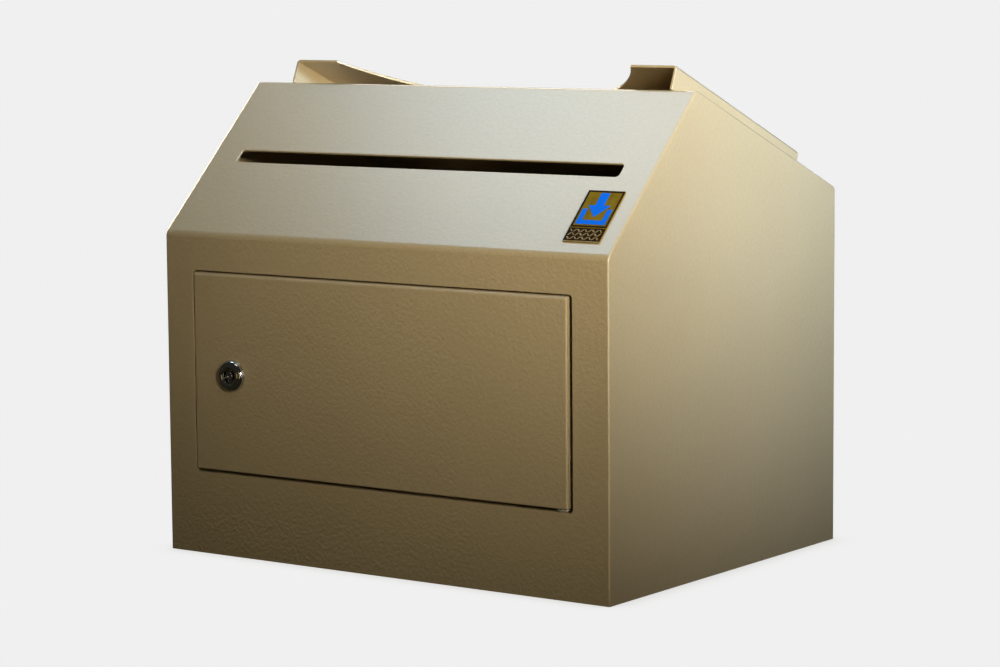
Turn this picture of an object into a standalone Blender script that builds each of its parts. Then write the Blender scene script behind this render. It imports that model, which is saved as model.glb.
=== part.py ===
"""Countertop drop box: a welded sheet-steel box with a posting slot in its sloping front, a keyed
front door, and an open envelope pocket on its rear roof slope.

Metres, +Z up. The origin is the middle of the base's underside. +X is to the right as seen from
the front, and +Y is towards the rear. The door is closed and its cam points up, unlocked.
"""

import math

import bmesh
import bpy
from mathutils import Matrix, Vector

MM = 0.001

# Box.
WIDTH = 400 * MM
DEPTH = 310 * MM
FOLD_HEIGHT = 241.5 * MM  # where the upright front turns into the slope
RIDGE_HEIGHT = 351 * MM
RIDGE_SETBACK = 112.5 * MM  # from the front face back to the ridge
BACK_HEIGHT = 270 * MM
SHEET = 2 * MM
FOLD_RADIUS = 4 * MM
BEND_STEPS = 4
RIDGE_LIP = 8 * MM  # how far the front sheet wraps over the ridge
SIDE_EDGE_ROUND = 1.6 * MM
GAP = 0.3 * MM  # between pieces that touch or are welded

# Door and its opening in the front face.
OPENING_LEFT = -173.5 * MM
OPENING_RIGHT = 169.6 * MM
OPENING_BOTTOM = 62.3 * MM
OPENING_TOP = 214.3 * MM
DOOR_LEFT = -171.7 * MM
DOOR_RIGHT = 166.7 * MM
DOOR_BOTTOM = 64 * MM
DOOR_TOP = 212.8 * MM
DOOR_PROUD = 1 * MM
DOOR_DEEP = 13 * MM
DOOR_EDGE_ROUND = 2.4 * MM
CORNER_ROUND = 3 * MM

# Posting slot and label, measured up the front slope from the fold.
SLOT_LEFT = -174.8 * MM
SLOT_RIGHT = 173.5 * MM
SLOT_LOW = 72.9 * MM
SLOT_HIGH = 85.2 * MM
SLOT_ROUND = 3 * MM
LABEL_LEFT = 156.5 * MM
LABEL_RIGHT = 187 * MM
LABEL_LOW = 11.5 * MM
LABEL_HIGH = 59 * MM
LABEL_THICK = 0.6 * MM

# Envelope pocket on the roof, measured down the roof from the ridge.
POCKET_LEFT = -167.5 * MM
POCKET_RIGHT = 179 * MM
POCKET_START = 0.5 * MM
POCKET_END = 187 * MM
POCKET_HIGH = 18.3 * MM  # outer face above the roof
POCKET_ROUND = 2.6 * MM
SCOOP_RADIUS = 152 * MM
SCOOP_CENTRE = -71 * MM  # the scoop's centre lies in front of the ridge

# Door frame, hinge and stops.
JAMB_THICK = 3 * MM
JAMB_DEEP = 18 * MM
JAMB_PAST_OPENING = 14 * MM
PIVOT_INSET = 8 * MM  # from the door's right edge to its axis
PIVOT_DEPTH = 7.5 * MM  # from the door's face to its axis
PIN_RADIUS = 2 * MM
PIN_HEAD_RADIUS = 3.6 * MM
PIN_HEAD_THICK = 2 * MM
PIN_PAST_JAMB = 3 * MM
BUSH_RADIUS = 3 * MM
BUSH_LIP = 0.2 * MM
WASHER_RADIUS = 5 * MM
STOP_LEFT = -165 * MM
STOP_WIDE = 20 * MM
STOP_LEG = 8 * MM
STOP_THICK = 1.5 * MM

# Tubular cam lock. Its stations are measured to the rear from the back of its head.
LOCK_X = -135.4 * MM
LOCK_Z = 137 * MM
HEAD_RADIUS = 12 * MM
FACE_RADIUS = 8 * MM
HEAD_HIGH = 4.8 * MM
BARREL_RADIUS = 9.4 * MM
BARREL_ACROSS_FLATS = 16 * MM
BARREL_LONG = 19.7 * MM
COLLAR_DEEP = 2 * MM
KEYWAY_RADIUS = 5.3 * MM
KEYWAY_DEEP = 6 * MM
NOTCH_WIDE = 1.6 * MM
CORE_RADIUS = 6.4 * MM
POST_RADIUS = 3.4 * MM
DRIVE_RADIUS = 4 * MM
DRIVE_ACROSS_FLATS = 6 * MM
TUMBLERS = 7
TUMBLER_CIRCLE = 4.35 * MM
TUMBLER_RADIUS = 0.6 * MM
TUMBLER_LONG = 4 * MM
TUMBLER_PROUD = 1 * MM
LOCK_WASHER_RADIUS = 13 * MM
LOCK_WASHER_THICK = 0.8 * MM
LOCK_NUT_ACROSS_FLATS = 24 * MM
LOCK_NUT_THICK = 3 * MM
LOCK_TURN = 90  # degrees
LUG_WIDE = 3 * MM
LUG_REACH = 9 * MM
CAM_LONG = 46 * MM
CAM_ROOT_RADIUS = 7.5 * MM
CAM_TIP_WIDE = 10 * MM
CAM_THICK = 2 * MM
CAM_WASHER_THICK = 0.9 * MM
CAM_NUT_ACROSS_FLATS = 13 * MM
CAM_NUT_THICK = 3.2 * MM

# Baffle behind the slot.
BAFFLE_SHEET = 1.5 * MM
BAFFLE_WIDE = 380 * MM
BAFFLE_LIP = 17 * MM
BAFFLE_BELOW_SLOT = 3 * MM
BAFFLE_RUN = 92 * MM
BAFFLE_DROP = math.radians(22)  # below level
BAFFLE_APRON = 26 * MM
BAFFLE_FOLD = 3 * MM
TEETH = 38
TOOTH_DEEP = 6 * MM

# Base tray.
TRAY_FLANGE = 15 * MM
TRAY_CORNER = 4 * MM
ANCHOR_HOLE_RADIUS = 5 * MM
ANCHOR_X = 150 * MM
ANCHOR_Y = 105 * MM

FRONT_Y = -DEPTH / 2
BACK_Y = DEPTH / 2
RIDGE_Y = FRONT_Y + RIDGE_SETBACK
SLOPE_ANGLE = math.atan2(RIDGE_HEIGHT - FOLD_HEIGHT, RIDGE_SETBACK)
ROOF_ANGLE = math.atan2(RIDGE_HEIGHT - BACK_HEIGHT, BACK_Y - RIDGE_Y)
DOOR_FACE_Y = FRONT_Y - DOOR_PROUD
DOOR_REAR_Y = DOOR_FACE_Y + DOOR_DEEP
JAMB_FRONT_Y = FRONT_Y + SHEET + GAP
JAMB_REAR_Y = JAMB_FRONT_Y + JAMB_DEEP

KEYWAY_FLOOR = KEYWAY_DEEP - HEAD_HIGH
COLLAR_REAR = BARREL_LONG + COLLAR_DEEP
CAM_FRONT = COLLAR_REAR + GAP
CAM_REAR = CAM_FRONT + CAM_THICK
CAM_WASHER_FRONT = CAM_REAR + GAP
CAM_NUT_FRONT = CAM_WASHER_FRONT + CAM_WASHER_THICK + GAP
SPINDLE_REAR = CAM_NUT_FRONT + CAM_NUT_THICK + 1 * MM

# Frames: Z is the normal of each slope and Y runs to the rear along it. The lock's Z runs to the
# rear, and its -Y is up.
SLOPE_FRAME = Matrix.Translation((0, FRONT_Y, FOLD_HEIGHT)) @ Matrix.Rotation(SLOPE_ANGLE, 4, "X")
ROOF_FRAME = Matrix.Translation((0, RIDGE_Y, RIDGE_HEIGHT)) @ Matrix.Rotation(-ROOF_ANGLE, 4, "X")
PIVOT_FRAME = Matrix.Translation((DOOR_RIGHT - PIVOT_INSET, DOOR_FACE_Y + PIVOT_DEPTH, 0))
LOCK_FRAME = Matrix.Translation((LOCK_X, DOOR_FACE_Y - GAP, LOCK_Z)) @ Matrix.Rotation(
    -math.pi / 2, 4, "X"
)

LARGE_STEPS = 96
ROUND_STEPS = 48
SMALL_STEPS = 24
SMOOTH_ANGLE = math.radians(30)


# ---------------------------------------------------------------- scene and finishes


def clear_scene():
    """Removes every object that the scene starts with."""
    for obj in list(bpy.data.objects):
        bpy.data.objects.remove(obj)


def new_collection(name):
    collection = bpy.data.collections.new(name)
    bpy.context.scene.collection.children.link(collection)
    return collection


def new_finish(name, colour, roughness, metallic):
    """A plain Principled finish."""
    material = bpy.data.materials.new(name)
    material.use_nodes = True
    shader = material.node_tree.nodes["Principled BSDF"]
    shader.inputs["Base Color"].default_value = (*colour, 1)
    shader.inputs["Roughness"].default_value = roughness
    shader.inputs["Metallic"].default_value = metallic
    material.diffuse_color = (*colour, 1)
    return material


def body_paint():
    """Textured beige powder coat on the box."""
    return new_finish("beige_powder_coat", (0.62, 0.54, 0.38), 0.5, 0)


def door_paint():
    """The same powder coat, on the door."""
    return new_finish("beige_door_coat", (0.6, 0.52, 0.36), 0.5, 0)


def zinc_steel():
    """Zinc-plated steel, for the washers, nuts, cam and hinge pins."""
    return new_finish("zinc_plated_steel", (0.66, 0.67, 0.68), 0.35, 1)


def bright_chrome():
    """Chrome plating, for the lock's visible parts."""
    return new_finish("chrome_plate", (0.8, 0.8, 0.8), 0.08, 1)


def brass():
    """Bare brass, for the tumbler pins."""
    return new_finish("brass", (0.8, 0.6, 0.25), 0.25, 1)


def white_nylon():
    """Natural nylon, for the hinge bushes and thrust washer."""
    return new_finish("natural_nylon", (0.82, 0.81, 0.76), 0.45, 0)


def gold_foil():
    """Printed gold foil, for the label."""
    return new_finish("gold_foil", (0.72, 0.5, 0.14), 0.3, 1)


# ---------------------------------------------------------------- modelling helpers


def finished_mesh(name, bm, finish):
    """Turns a bmesh into a mesh with the finish on it."""
    mesh = bpy.data.meshes.new(name)
    bm.to_mesh(mesh)
    bm.free()
    mesh.shade_smooth()
    mesh.set_sharp_from_angle(angle=SMOOTH_ANGLE)
    mesh.materials.append(finish)
    return mesh


def add_part(name, bm, finish, frame=None):
    obj = bpy.data.objects.new(name, finished_mesh(name, bm, finish))
    obj.matrix_world = frame or Matrix.Identity(4)
    PARTS.objects.link(obj)
    return obj


def add_cutter(name, bm, frame=None):
    """A shape that is only used to cut others."""
    mesh = bpy.data.meshes.new(name)
    bm.to_mesh(mesh)
    bm.free()
    obj = bpy.data.objects.new(name, mesh)
    obj.matrix_world = frame or Matrix.Identity(4)
    obj.hide_render = True
    obj.display_type = "WIRE"
    CUTTERS.objects.link(obj)
    return obj


def cut(part, cutter):
    """Takes a cutter's shape out of a part."""
    modifier = part.modifiers.new("cut_" + cutter.name, "BOOLEAN")
    modifier.operation = "DIFFERENCE"
    modifier.solver = "EXACT"
    modifier.object = cutter


def add_wall(part, thickness, offset=-1):
    """Gives an open surface its thickness. An offset of -1 puts it behind the surface."""
    modifier = part.modifiers.new("wall", "SOLIDIFY")
    modifier.thickness = thickness
    modifier.offset = offset
    modifier.use_even_offset = True


def block(low, high):
    """A bmesh box between two corners."""
    bm = bmesh.new()
    bmesh.ops.create_cube(bm, size=1)
    low = Vector(low)
    high = Vector(high)
    bmesh.ops.scale(bm, vec=high - low, verts=bm.verts)
    bmesh.ops.translate(bm, vec=(low + high) / 2, verts=bm.verts)
    return bm


def cylinder(radius, low, high, steps=SMALL_STEPS):
    """A bmesh cylinder about Z between two heights."""
    bm = bmesh.new()
    bmesh.ops.create_cone(
        bm, cap_ends=True, segments=steps, radius1=radius, radius2=radius, depth=high - low
    )
    bmesh.ops.translate(bm, vec=(0, 0, (low + high) / 2), verts=bm.verts)
    return bm


def hexagon(across_flats, low, high):
    """A bmesh hexagon bar about Z."""
    return cylinder(across_flats / 2 / math.cos(math.pi / 6), low, high, 6)


def prism(outline, low, high):
    """A bmesh plate with an (x, y) outline, between two heights."""
    bm = bmesh.new()
    base = bm.faces.new([bm.verts.new((x, y, low)) for x, y in outline])
    pulled = bmesh.ops.extrude_face_region(bm, geom=[base])["geom"]
    raised = [item for item in pulled if isinstance(item, bmesh.types.BMVert)]
    bmesh.ops.translate(bm, vec=(0, 0, high - low), verts=raised)
    bmesh.ops.recalc_face_normals(bm, faces=bm.faces)
    return bm


def arc(radius, start, end, steps):
    """Points round an arc about the origin, between two angles in degrees."""
    points = []
    for step in range(steps + 1):
        angle = math.radians(start + (end - start) * step / steps)
        points.append((radius * math.cos(angle), radius * math.sin(angle)))
    return points


def edges_along(bm, axis):
    """The edges that run along one axis, 0 for X, 1 for Y and 2 for Z."""
    found = []
    for edge in bm.edges:
        run = edge.verts[0].co - edge.verts[1].co
        if abs(run[axis]) > 0.99 * run.length:
            found.append(edge)
    return found


def folds(bm):
    """The edges that two faces share."""
    return [edge for edge in bm.edges if len(edge.link_faces) == 2]


def round_edges(bm, edges, width, steps=BEND_STEPS):
    bmesh.ops.bevel(bm, geom=edges, offset=width, segments=steps, profile=0.5, affect="EDGES")


def open_side(bm, axis, sign):
    """Takes away the faces that look along one axis."""
    faces = [face for face in bm.faces if face.normal[axis] * sign > 0.5]
    bmesh.ops.delete(bm, geom=faces, context="FACES")


def turned(name, profile, finish, frame, steps=ROUND_STEPS):
    """A turned piece. Its (radius, height) profile ends on the axis or closes into a ring."""
    solid = profile[0][0] == 0 and profile[-1][0] == 0
    ring = list(zip(profile, profile[1:] + profile[:1]))
    area = sum(a[0] * b[1] - b[0] * a[1] for a, b in ring)
    if area > 0:
        profile = profile[::-1]
    bm = bmesh.new()
    verts = [bm.verts.new((radius, 0, height)) for radius, height in profile]
    for first, second in zip(verts, verts[1:]):
        bm.edges.new((first, second))
    if not solid:
        bm.edges.new((verts[-1], verts[0]))
    part = add_part(name, bm, finish, frame)
    screw = part.modifiers.new("turn", "SCREW")
    screw.steps = steps
    screw.render_steps = steps
    screw.use_merge_vertices = True
    screw.merge_threshold = 0.01 * MM
    screw.use_smooth_shade = False
    return part


def fillet(before, corner, after, radius, steps):
    """The points of an arc that rounds one corner of a flat path."""
    to_before = (before - corner).normalized()
    to_after = (after - corner).normalized()
    half = to_before.angle(to_after) / 2
    centre = corner + (to_before + to_after).normalized() * radius / math.sin(half)
    start = corner + to_before * radius / math.tan(half) - centre
    sweep = math.pi - 2 * half
    turn = -1 if to_before.x * to_after.y - to_before.y * to_after.x > 0 else 1
    points = []
    for step in range(steps + 1):
        angle = turn * sweep * step / steps
        points.append(centre + Matrix.Rotation(angle, 2) @ start)
    return points


def folded_sheet(name, section, left, right, thickness, radius, finish, offset=-1):
    """A sheet folded to a (y, z) section, from left to right."""
    corners = [Vector(point) for point in section]
    path = [corners[0]]
    for before, corner, after in zip(corners, corners[1:], corners[2:]):
        path.extend(fillet(before, corner, after, radius, BEND_STEPS))
    path.append(corners[-1])
    bm = bmesh.new()
    start = [bm.verts.new((left, y, z)) for y, z in path]
    end = [bm.verts.new((right, y, z)) for y, z in path]
    for index in range(len(path) - 1):
        bm.faces.new((start[index], start[index + 1], end[index + 1], end[index]))
    part = add_part(name, bm, finish)
    add_wall(part, thickness, offset)
    return part


# ---------------------------------------------------------------- the welded box


def roof_point(down):
    """The (y, z) of a point on the roof, a distance down from the ridge."""
    point = ROOF_FRAME @ Vector((0, down, 0))
    return (point.y, point.z)


def build_front_shell(finish):
    """The upright front, the slope and a lip over the ridge, folded from one sheet."""
    section = [(FRONT_Y, 0), (FRONT_Y, FOLD_HEIGHT), (RIDGE_Y, RIDGE_HEIGHT), roof_point(RIDGE_LIP)]
    edge = WIDTH / 2 - SHEET - GAP
    shell = folded_sheet("front_shell", section, -edge, edge, SHEET, FOLD_RADIUS, finish, 1)
    reach = 10 * MM
    doorway = block(
        (OPENING_LEFT, FRONT_Y - reach, OPENING_BOTTOM),
        (OPENING_RIGHT, FRONT_Y + reach, OPENING_TOP),
    )
    round_edges(doorway, edges_along(doorway, 1), CORNER_ROUND)
    cut(shell, add_cutter("doorway_cutter", doorway))
    slot = block((SLOT_LEFT, SLOT_LOW, -reach), (SLOT_RIGHT, SLOT_HIGH, reach))
    round_edges(slot, edges_along(slot, 2), SLOT_ROUND)
    cut(shell, add_cutter("slot_cutter", slot, SLOPE_FRAME))


def build_rear_shell(finish):
    """The roof behind the ridge and the back, folded from one sheet."""
    section = [roof_point(RIDGE_LIP + GAP), (BACK_Y, BACK_HEIGHT), (BACK_Y, 0)]
    edge = WIDTH / 2 - SHEET - GAP
    folded_sheet("rear_shell", section, -edge, edge, SHEET, FOLD_RADIUS, finish, 1)


def build_side_panels(finish):
    """The two five-sided plates that close the ends."""
    corners = [
        (FRONT_Y, 0),
        (FRONT_Y, FOLD_HEIGHT),
        (RIDGE_Y, RIDGE_HEIGHT),
        (BACK_Y, BACK_HEIGHT),
        (BACK_Y, 0),
    ]
    outline = [Vector(point) for point in corners]
    path = [outline[0]]
    for before, corner, after in zip(outline, outline[1:], outline[2:]):
        path.extend(fillet(before, corner, after, FOLD_RADIUS, BEND_STEPS))
    path.append(outline[-1])
    for name, sign in (("left_side_panel", -1), ("right_side_panel", 1)):
        bm = prism([(y, z) for y, z in path], 0, SHEET)
        outer_rim = []
        for edge in bm.edges:
            on_outer = all(vert.co.z > SHEET / 2 for vert in edge.verts)
            on_floor = all(vert.co.y < MM for vert in edge.verts)
            if on_outer and not on_floor:
                outer_rim.append(edge)
        round_edges(bm, outer_rim, SIDE_EDGE_ROUND, 2)
        place = Matrix(((0, 0, sign, 0), (1, 0, 0, 0), (0, 1, 0, 0), (0, 0, 0, 1)))
        place.translation.x = sign * (WIDTH / 2 - SHEET)
        bm.transform(place)
        bm.normal_update()
        bmesh.ops.recalc_face_normals(bm, faces=bm.faces)
        add_part(name, bm, finish)


def build_base_tray(finish):
    """The floor: a tray with upturned flanges and four anchor holes."""
    inset = SHEET + GAP
    tray = block(
        (-WIDTH / 2 + inset, FRONT_Y + inset, 0), (WIDTH / 2 - inset, BACK_Y - inset, TRAY_FLANGE)
    )
    open_side(tray, 2, 1)
    round_edges(tray, edges_along(tray, 2), TRAY_CORNER)
    part = add_part("base_tray", tray, finish)
    add_wall(part, SHEET)
    for x in (-ANCHOR_X, ANCHOR_X):
        for y in (-ANCHOR_Y, ANCHOR_Y):
            hole = cylinder(ANCHOR_HOLE_RADIUS, -SHEET, 2 * SHEET)
            cut(part, add_cutter("anchor_hole_cutter", hole, Matrix.Translation((x, y, 0))))


def build_envelope_pocket(finish):
    """The open-topped pocket on the roof: a folded sheet with a round scoop in its free edge."""
    pocket = block((POCKET_LEFT, POCKET_START, GAP), (POCKET_RIGHT, POCKET_END, POCKET_HIGH))
    open_side(pocket, 2, -1)
    open_side(pocket, 1, -1)
    round_edges(pocket, folds(pocket), POCKET_ROUND)
    part = add_part("envelope_pocket", pocket, finish, ROOF_FRAME)
    add_wall(part, SHEET)
    middle = (POCKET_LEFT + POCKET_RIGHT) / 2
    scoop = cylinder(SCOOP_RADIUS, POCKET_HIGH - 2 * SHEET, POCKET_HIGH + SHEET, LARGE_STEPS)
    place = ROOF_FRAME @ Matrix.Translation((middle, SCOOP_CENTRE, 0))
    cut(part, add_cutter("scoop_cutter", scoop, place))


def build_baffle(finish):
    """The chute plate below the slot. Its toothed apron keeps hands and hooks out."""
    behind_sheet = -(SHEET + GAP)
    top_s = SLOT_LOW - BAFFLE_BELOW_SLOT
    lip_low = SLOPE_FRAME @ Vector((0, top_s - BAFFLE_LIP, behind_sheet))
    lip_top = SLOPE_FRAME @ Vector((0, top_s, behind_sheet))
    knee = lip_top + BAFFLE_RUN * Vector((0, math.cos(BAFFLE_DROP), -math.sin(BAFFLE_DROP)))
    foot = knee - Vector((0, 0, BAFFLE_APRON))
    section = [(point.y, point.z) for point in (lip_low, lip_top, knee, foot)]
    half = BAFFLE_WIDE / 2
    part = folded_sheet(
        "anti_fish_baffle", section, -half, half, BAFFLE_SHEET, BAFFLE_FOLD, finish, 1
    )
    pitch = BAFFLE_WIDE / TEETH
    low = foot.z - MM
    outline = [(0, 0), (pitch, 0), (pitch / 2, TOOTH_DEEP + MM)]
    reach = 10 * MM
    notch = prism(outline, -reach, reach)
    upright = Matrix.Rotation(math.pi / 2, 4, "X")
    notches = add_cutter("teeth_cutter", notch, Matrix.Translation((-half, foot.y, low)) @ upright)
    row = notches.modifiers.new("row", "ARRAY")
    row.count = TEETH
    row.use_relative_offset = False
    row.use_constant_offset = True
    row.constant_offset_displace = (pitch, 0, 0)
    cut(part, notches)


def build_label(finish):
    """The small plate on the slope."""
    plate = block((LABEL_LEFT, LABEL_LOW, GAP), (LABEL_RIGHT, LABEL_HIGH, GAP + LABEL_THICK))
    round_edges(plate, edges_along(plate, 2), 1 * MM, 2)
    add_part("label_plate", plate, finish, SLOPE_FRAME)


# ---------------------------------------------------------------- door frame and door


def pivot_hole(name, radius):
    return add_cutter(name, cylinder(radius, 0, FOLD_HEIGHT), PIVOT_FRAME)


def build_door_frame(finish):
    """Three flat bars behind the opening's edges. The upper and lower ones carry the hinge."""
    left = OPENING_LEFT - JAMB_PAST_OPENING
    right = OPENING_RIGHT + JAMB_PAST_OPENING
    bushed = pivot_hole("bush_hole_cutter", BUSH_RADIUS + GAP)
    levels = {
        "upper_jamb": (OPENING_TOP, OPENING_TOP + JAMB_THICK),
        "lower_jamb": (OPENING_BOTTOM - JAMB_THICK, OPENING_BOTTOM),
    }
    for name, (low, high) in levels.items():
        bar = block((left, JAMB_FRONT_Y, low), (right, JAMB_REAR_Y, high))
        cut(add_part(name, bar, finish), bushed)
    strike = block(
        (OPENING_LEFT - JAMB_THICK, JAMB_FRONT_Y, OPENING_BOTTOM + GAP),
        (OPENING_LEFT, JAMB_REAR_Y, OPENING_TOP - GAP),
    )
    add_part("strike_jamb", strike, finish)


def build_door_stops(finish):
    """Two small angles that the door's rear edge meets when it is closed."""
    front = DOOR_REAR_Y + GAP
    for name, bar_z, away, offset in (
        ("upper_door_stop", OPENING_TOP - GAP, -1, -1),
        ("lower_door_stop", OPENING_BOTTOM + GAP, 1, 1),
    ):
        section = [(JAMB_REAR_Y, bar_z), (front, bar_z), (front, bar_z + away * STOP_LEG)]
        right = STOP_LEFT + STOP_WIDE
        folded_sheet(
            name, section, STOP_LEFT, right, STOP_THICK, STOP_THICK + GAP, finish, offset
        )


def build_door(finish):
    """The door: a shallow pan, open at the rear, with holes for the lock and the hinge pins."""
    pan = block((DOOR_LEFT, DOOR_FACE_Y, DOOR_BOTTOM), (DOOR_RIGHT, DOOR_REAR_Y, DOOR_TOP))
    open_side(pan, 1, 1)
    round_edges(pan, folds(pan), DOOR_EDGE_ROUND)
    door = add_part("door_pan", pan, finish)
    add_wall(door, SHEET)
    reach = 6 * MM
    hole = flatted_bar(BARREL_RADIUS + GAP, BARREL_ACROSS_FLATS + 2 * GAP, -reach, reach)
    cut(door, add_cutter("lock_hole_cutter", hole, LOCK_FRAME))
    cut(door, pivot_hole("pin_hole_cutter", PIN_RADIUS + GAP))


def build_hinge(pin_finish, bush_finish):
    """At each end of the door, a headed pin in the door turns in a bush in the jamb."""
    stations = {
        "upper": (DOOR_TOP - SHEET, OPENING_TOP, 1),
        "lower": (DOOR_BOTTOM + SHEET, OPENING_BOTTOM, -1),
    }
    chamfer = 0.5 * MM
    for place, (inner, jamb, away) in stations.items():
        shank = inner - away * GAP
        head = shank - away * PIN_HEAD_THICK
        tip = jamb + away * (JAMB_THICK + PIN_PAST_JAMB)
        pin = [
            (0, head),
            (PIN_HEAD_RADIUS - chamfer, head),
            (PIN_HEAD_RADIUS, head + away * chamfer),
            (PIN_HEAD_RADIUS, shank),
            (PIN_RADIUS, shank),
            (PIN_RADIUS, tip - away * chamfer),
            (PIN_RADIUS - chamfer, tip),
            (0, tip),
        ]
        turned(f"{place}_hinge_pin", pin, pin_finish, PIVOT_FRAME, SMALL_STEPS)
        near = jamb - away * BUSH_LIP
        far = jamb + away * (JAMB_THICK + MM)
        add_ring(f"{place}_hinge_bush", PIN_RADIUS + GAP, BUSH_RADIUS, near, far, bush_finish)
    low = OPENING_BOTTOM + BUSH_LIP + GAP
    high = DOOR_BOTTOM - GAP
    add_ring("hinge_thrust_washer", PIN_RADIUS + GAP, WASHER_RADIUS, low, high, bush_finish)


def add_ring(name, bore, radius, low, high, finish):
    """A plain ring on the hinge's axis."""
    profile = [(bore, low), (bore, high), (radius, high), (radius, low)]
    turned(name, profile, finish, PIVOT_FRAME, SMALL_STEPS)


# ---------------------------------------------------------------- cam lock


def flatted_bar(radius, across_flats, low, high, steps=ROUND_STEPS):
    """A bmesh round bar about Z with a flat on each side."""
    half_flat = across_flats / 2
    edge = math.degrees(math.acos(half_flat / radius))
    upper = arc(radius, edge, 180 - edge, steps // 2)
    lower = arc(radius, 180 + edge, 360 - edge, steps // 2)
    return prism(upper + lower, low, high)


def drive_hole(name):
    """The flatted hole that takes the spindle's drive."""
    bar = flatted_bar(
        DRIVE_RADIUS + GAP, DRIVE_ACROSS_FLATS + 2 * GAP, BARREL_LONG - MM, SPINDLE_REAR, SMALL_STEPS
    )
    return add_cutter(name, bar, LOCK_FRAME)


def build_lock_housing(finish):
    """The fixed body: a conical head round the keyway, and a flatted barrel."""
    rim = 0.6 * MM
    bore = CORE_RADIUS + GAP
    profile = [
        (KEYWAY_RADIUS, rim - HEAD_HIGH),
        (KEYWAY_RADIUS + rim, -HEAD_HIGH),
        (FACE_RADIUS - rim, -HEAD_HIGH),
        (FACE_RADIUS, rim / 2 - HEAD_HIGH),
        (HEAD_RADIUS, -rim),
        (HEAD_RADIUS, 0),
        (BARREL_RADIUS, 0),
        (BARREL_RADIUS, COLLAR_REAR),
        (bore, COLLAR_REAR),
        (bore, KEYWAY_FLOOR),
        (KEYWAY_RADIUS, KEYWAY_FLOOR),
    ]
    housing = turned("lock_housing", profile, finish, LOCK_FRAME)
    wide = 2 * BARREL_RADIUS
    for sign in (-1, 1):
        near, far = sorted((sign * BARREL_ACROSS_FLATS / 2, sign * wide))
        flat = block((near, -wide, GAP), (far, wide, COLLAR_REAR + MM))
        cut(housing, add_cutter("barrel_flat_cutter", flat, LOCK_FRAME))
    half = NOTCH_WIDE / 2
    notch = block(
        (-half, -KEYWAY_RADIUS - MM, -HEAD_HIGH - MM), (half, -KEYWAY_RADIUS + MM, -MM)
    )
    cut(housing, add_cutter("key_notch_cutter", notch, LOCK_FRAME))
    spare = math.degrees(math.asin((LUG_WIDE / 2 + GAP) / bore))
    sector = arc(wide, -90 + spare, -90 - LOCK_TURN - spare, 8)
    window = prism([(0, 0), *sector], BARREL_LONG, COLLAR_REAR + MM)
    cut(housing, add_cutter("stop_window_cutter", window, LOCK_FRAME))


def build_lock_fixings(finish):
    """The washer and nut that hold the housing in the door."""
    washer_front = GAP + SHEET + GAP
    washer_rear = washer_front + LOCK_WASHER_THICK
    bore = BARREL_RADIUS + GAP
    profile = [
        (bore, washer_front),
        (bore, washer_rear),
        (LOCK_WASHER_RADIUS, washer_rear),
        (LOCK_WASHER_RADIUS, washer_front),
    ]
    turned("lock_washer", profile, finish, LOCK_FRAME)
    nut_front = washer_rear + GAP
    nut_rear = nut_front + LOCK_NUT_THICK
    nut = add_part(
        "lock_nut", hexagon(LOCK_NUT_ACROSS_FLATS, nut_front, nut_rear), finish, LOCK_FRAME
    )
    thread = cylinder(bore, nut_front - MM, nut_rear + MM, ROUND_STEPS)
    cut(nut, add_cutter("lock_nut_bore_cutter", thread, LOCK_FRAME))


def build_spindle(finish):
    """The turning core: a centre post in the keyway, a core and a flatted drive."""
    core_front = KEYWAY_FLOOR + GAP
    core_rear = BARREL_LONG - GAP
    chamfer = 0.5 * MM
    profile = [
        (0, chamfer - HEAD_HIGH),
        (POST_RADIUS - chamfer, chamfer - HEAD_HIGH),
        (POST_RADIUS, 2 * chamfer - HEAD_HIGH),
        (POST_RADIUS, core_front),
        (CORE_RADIUS, core_front),
        (CORE_RADIUS, core_rear),
        (DRIVE_RADIUS, core_rear),
        (DRIVE_RADIUS, SPINDLE_REAR),
        (0, SPINDLE_REAR),
    ]
    spindle = turned("lock_spindle", profile, finish, LOCK_FRAME)
    wide = 2 * DRIVE_RADIUS
    for sign in (-1, 1):
        near, far = sorted((sign * DRIVE_ACROSS_FLATS / 2, sign * wide))
        flat = block((near, -wide, core_rear), (far, wide, SPINDLE_REAR + MM))
        cut(spindle, add_cutter("drive_flat_cutter", flat, LOCK_FRAME))
    return spindle


def build_tumblers(spindle, finish):
    """The pins in the floor of the keyway, each in its own blind hole in the spindle."""
    front = KEYWAY_FLOOR + GAP - TUMBLER_PROUD
    rear = front + TUMBLER_LONG
    chamfer = 0.2 * MM
    profile = [
        (0, front),
        (TUMBLER_RADIUS - chamfer, front),
        (TUMBLER_RADIUS, front + chamfer),
        (TUMBLER_RADIUS, rear),
        (0, rear),
    ]
    for index in range(TUMBLERS):
        angle = 2 * math.pi * (index + 0.5) / TUMBLERS
        x = TUMBLER_CIRCLE * math.sin(angle)
        y = -TUMBLER_CIRCLE * math.cos(angle)
        place = LOCK_FRAME @ Matrix.Translation((x, y, 0))
        turned(f"tumbler_pin_{index + 1}", profile, finish, place, 12)
        hole = cylinder(TUMBLER_RADIUS + GAP, KEYWAY_FLOOR + GAP / 2, rear + GAP, 12)
        cut(spindle, add_cutter("tumbler_hole_cutter", hole, place))


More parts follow.
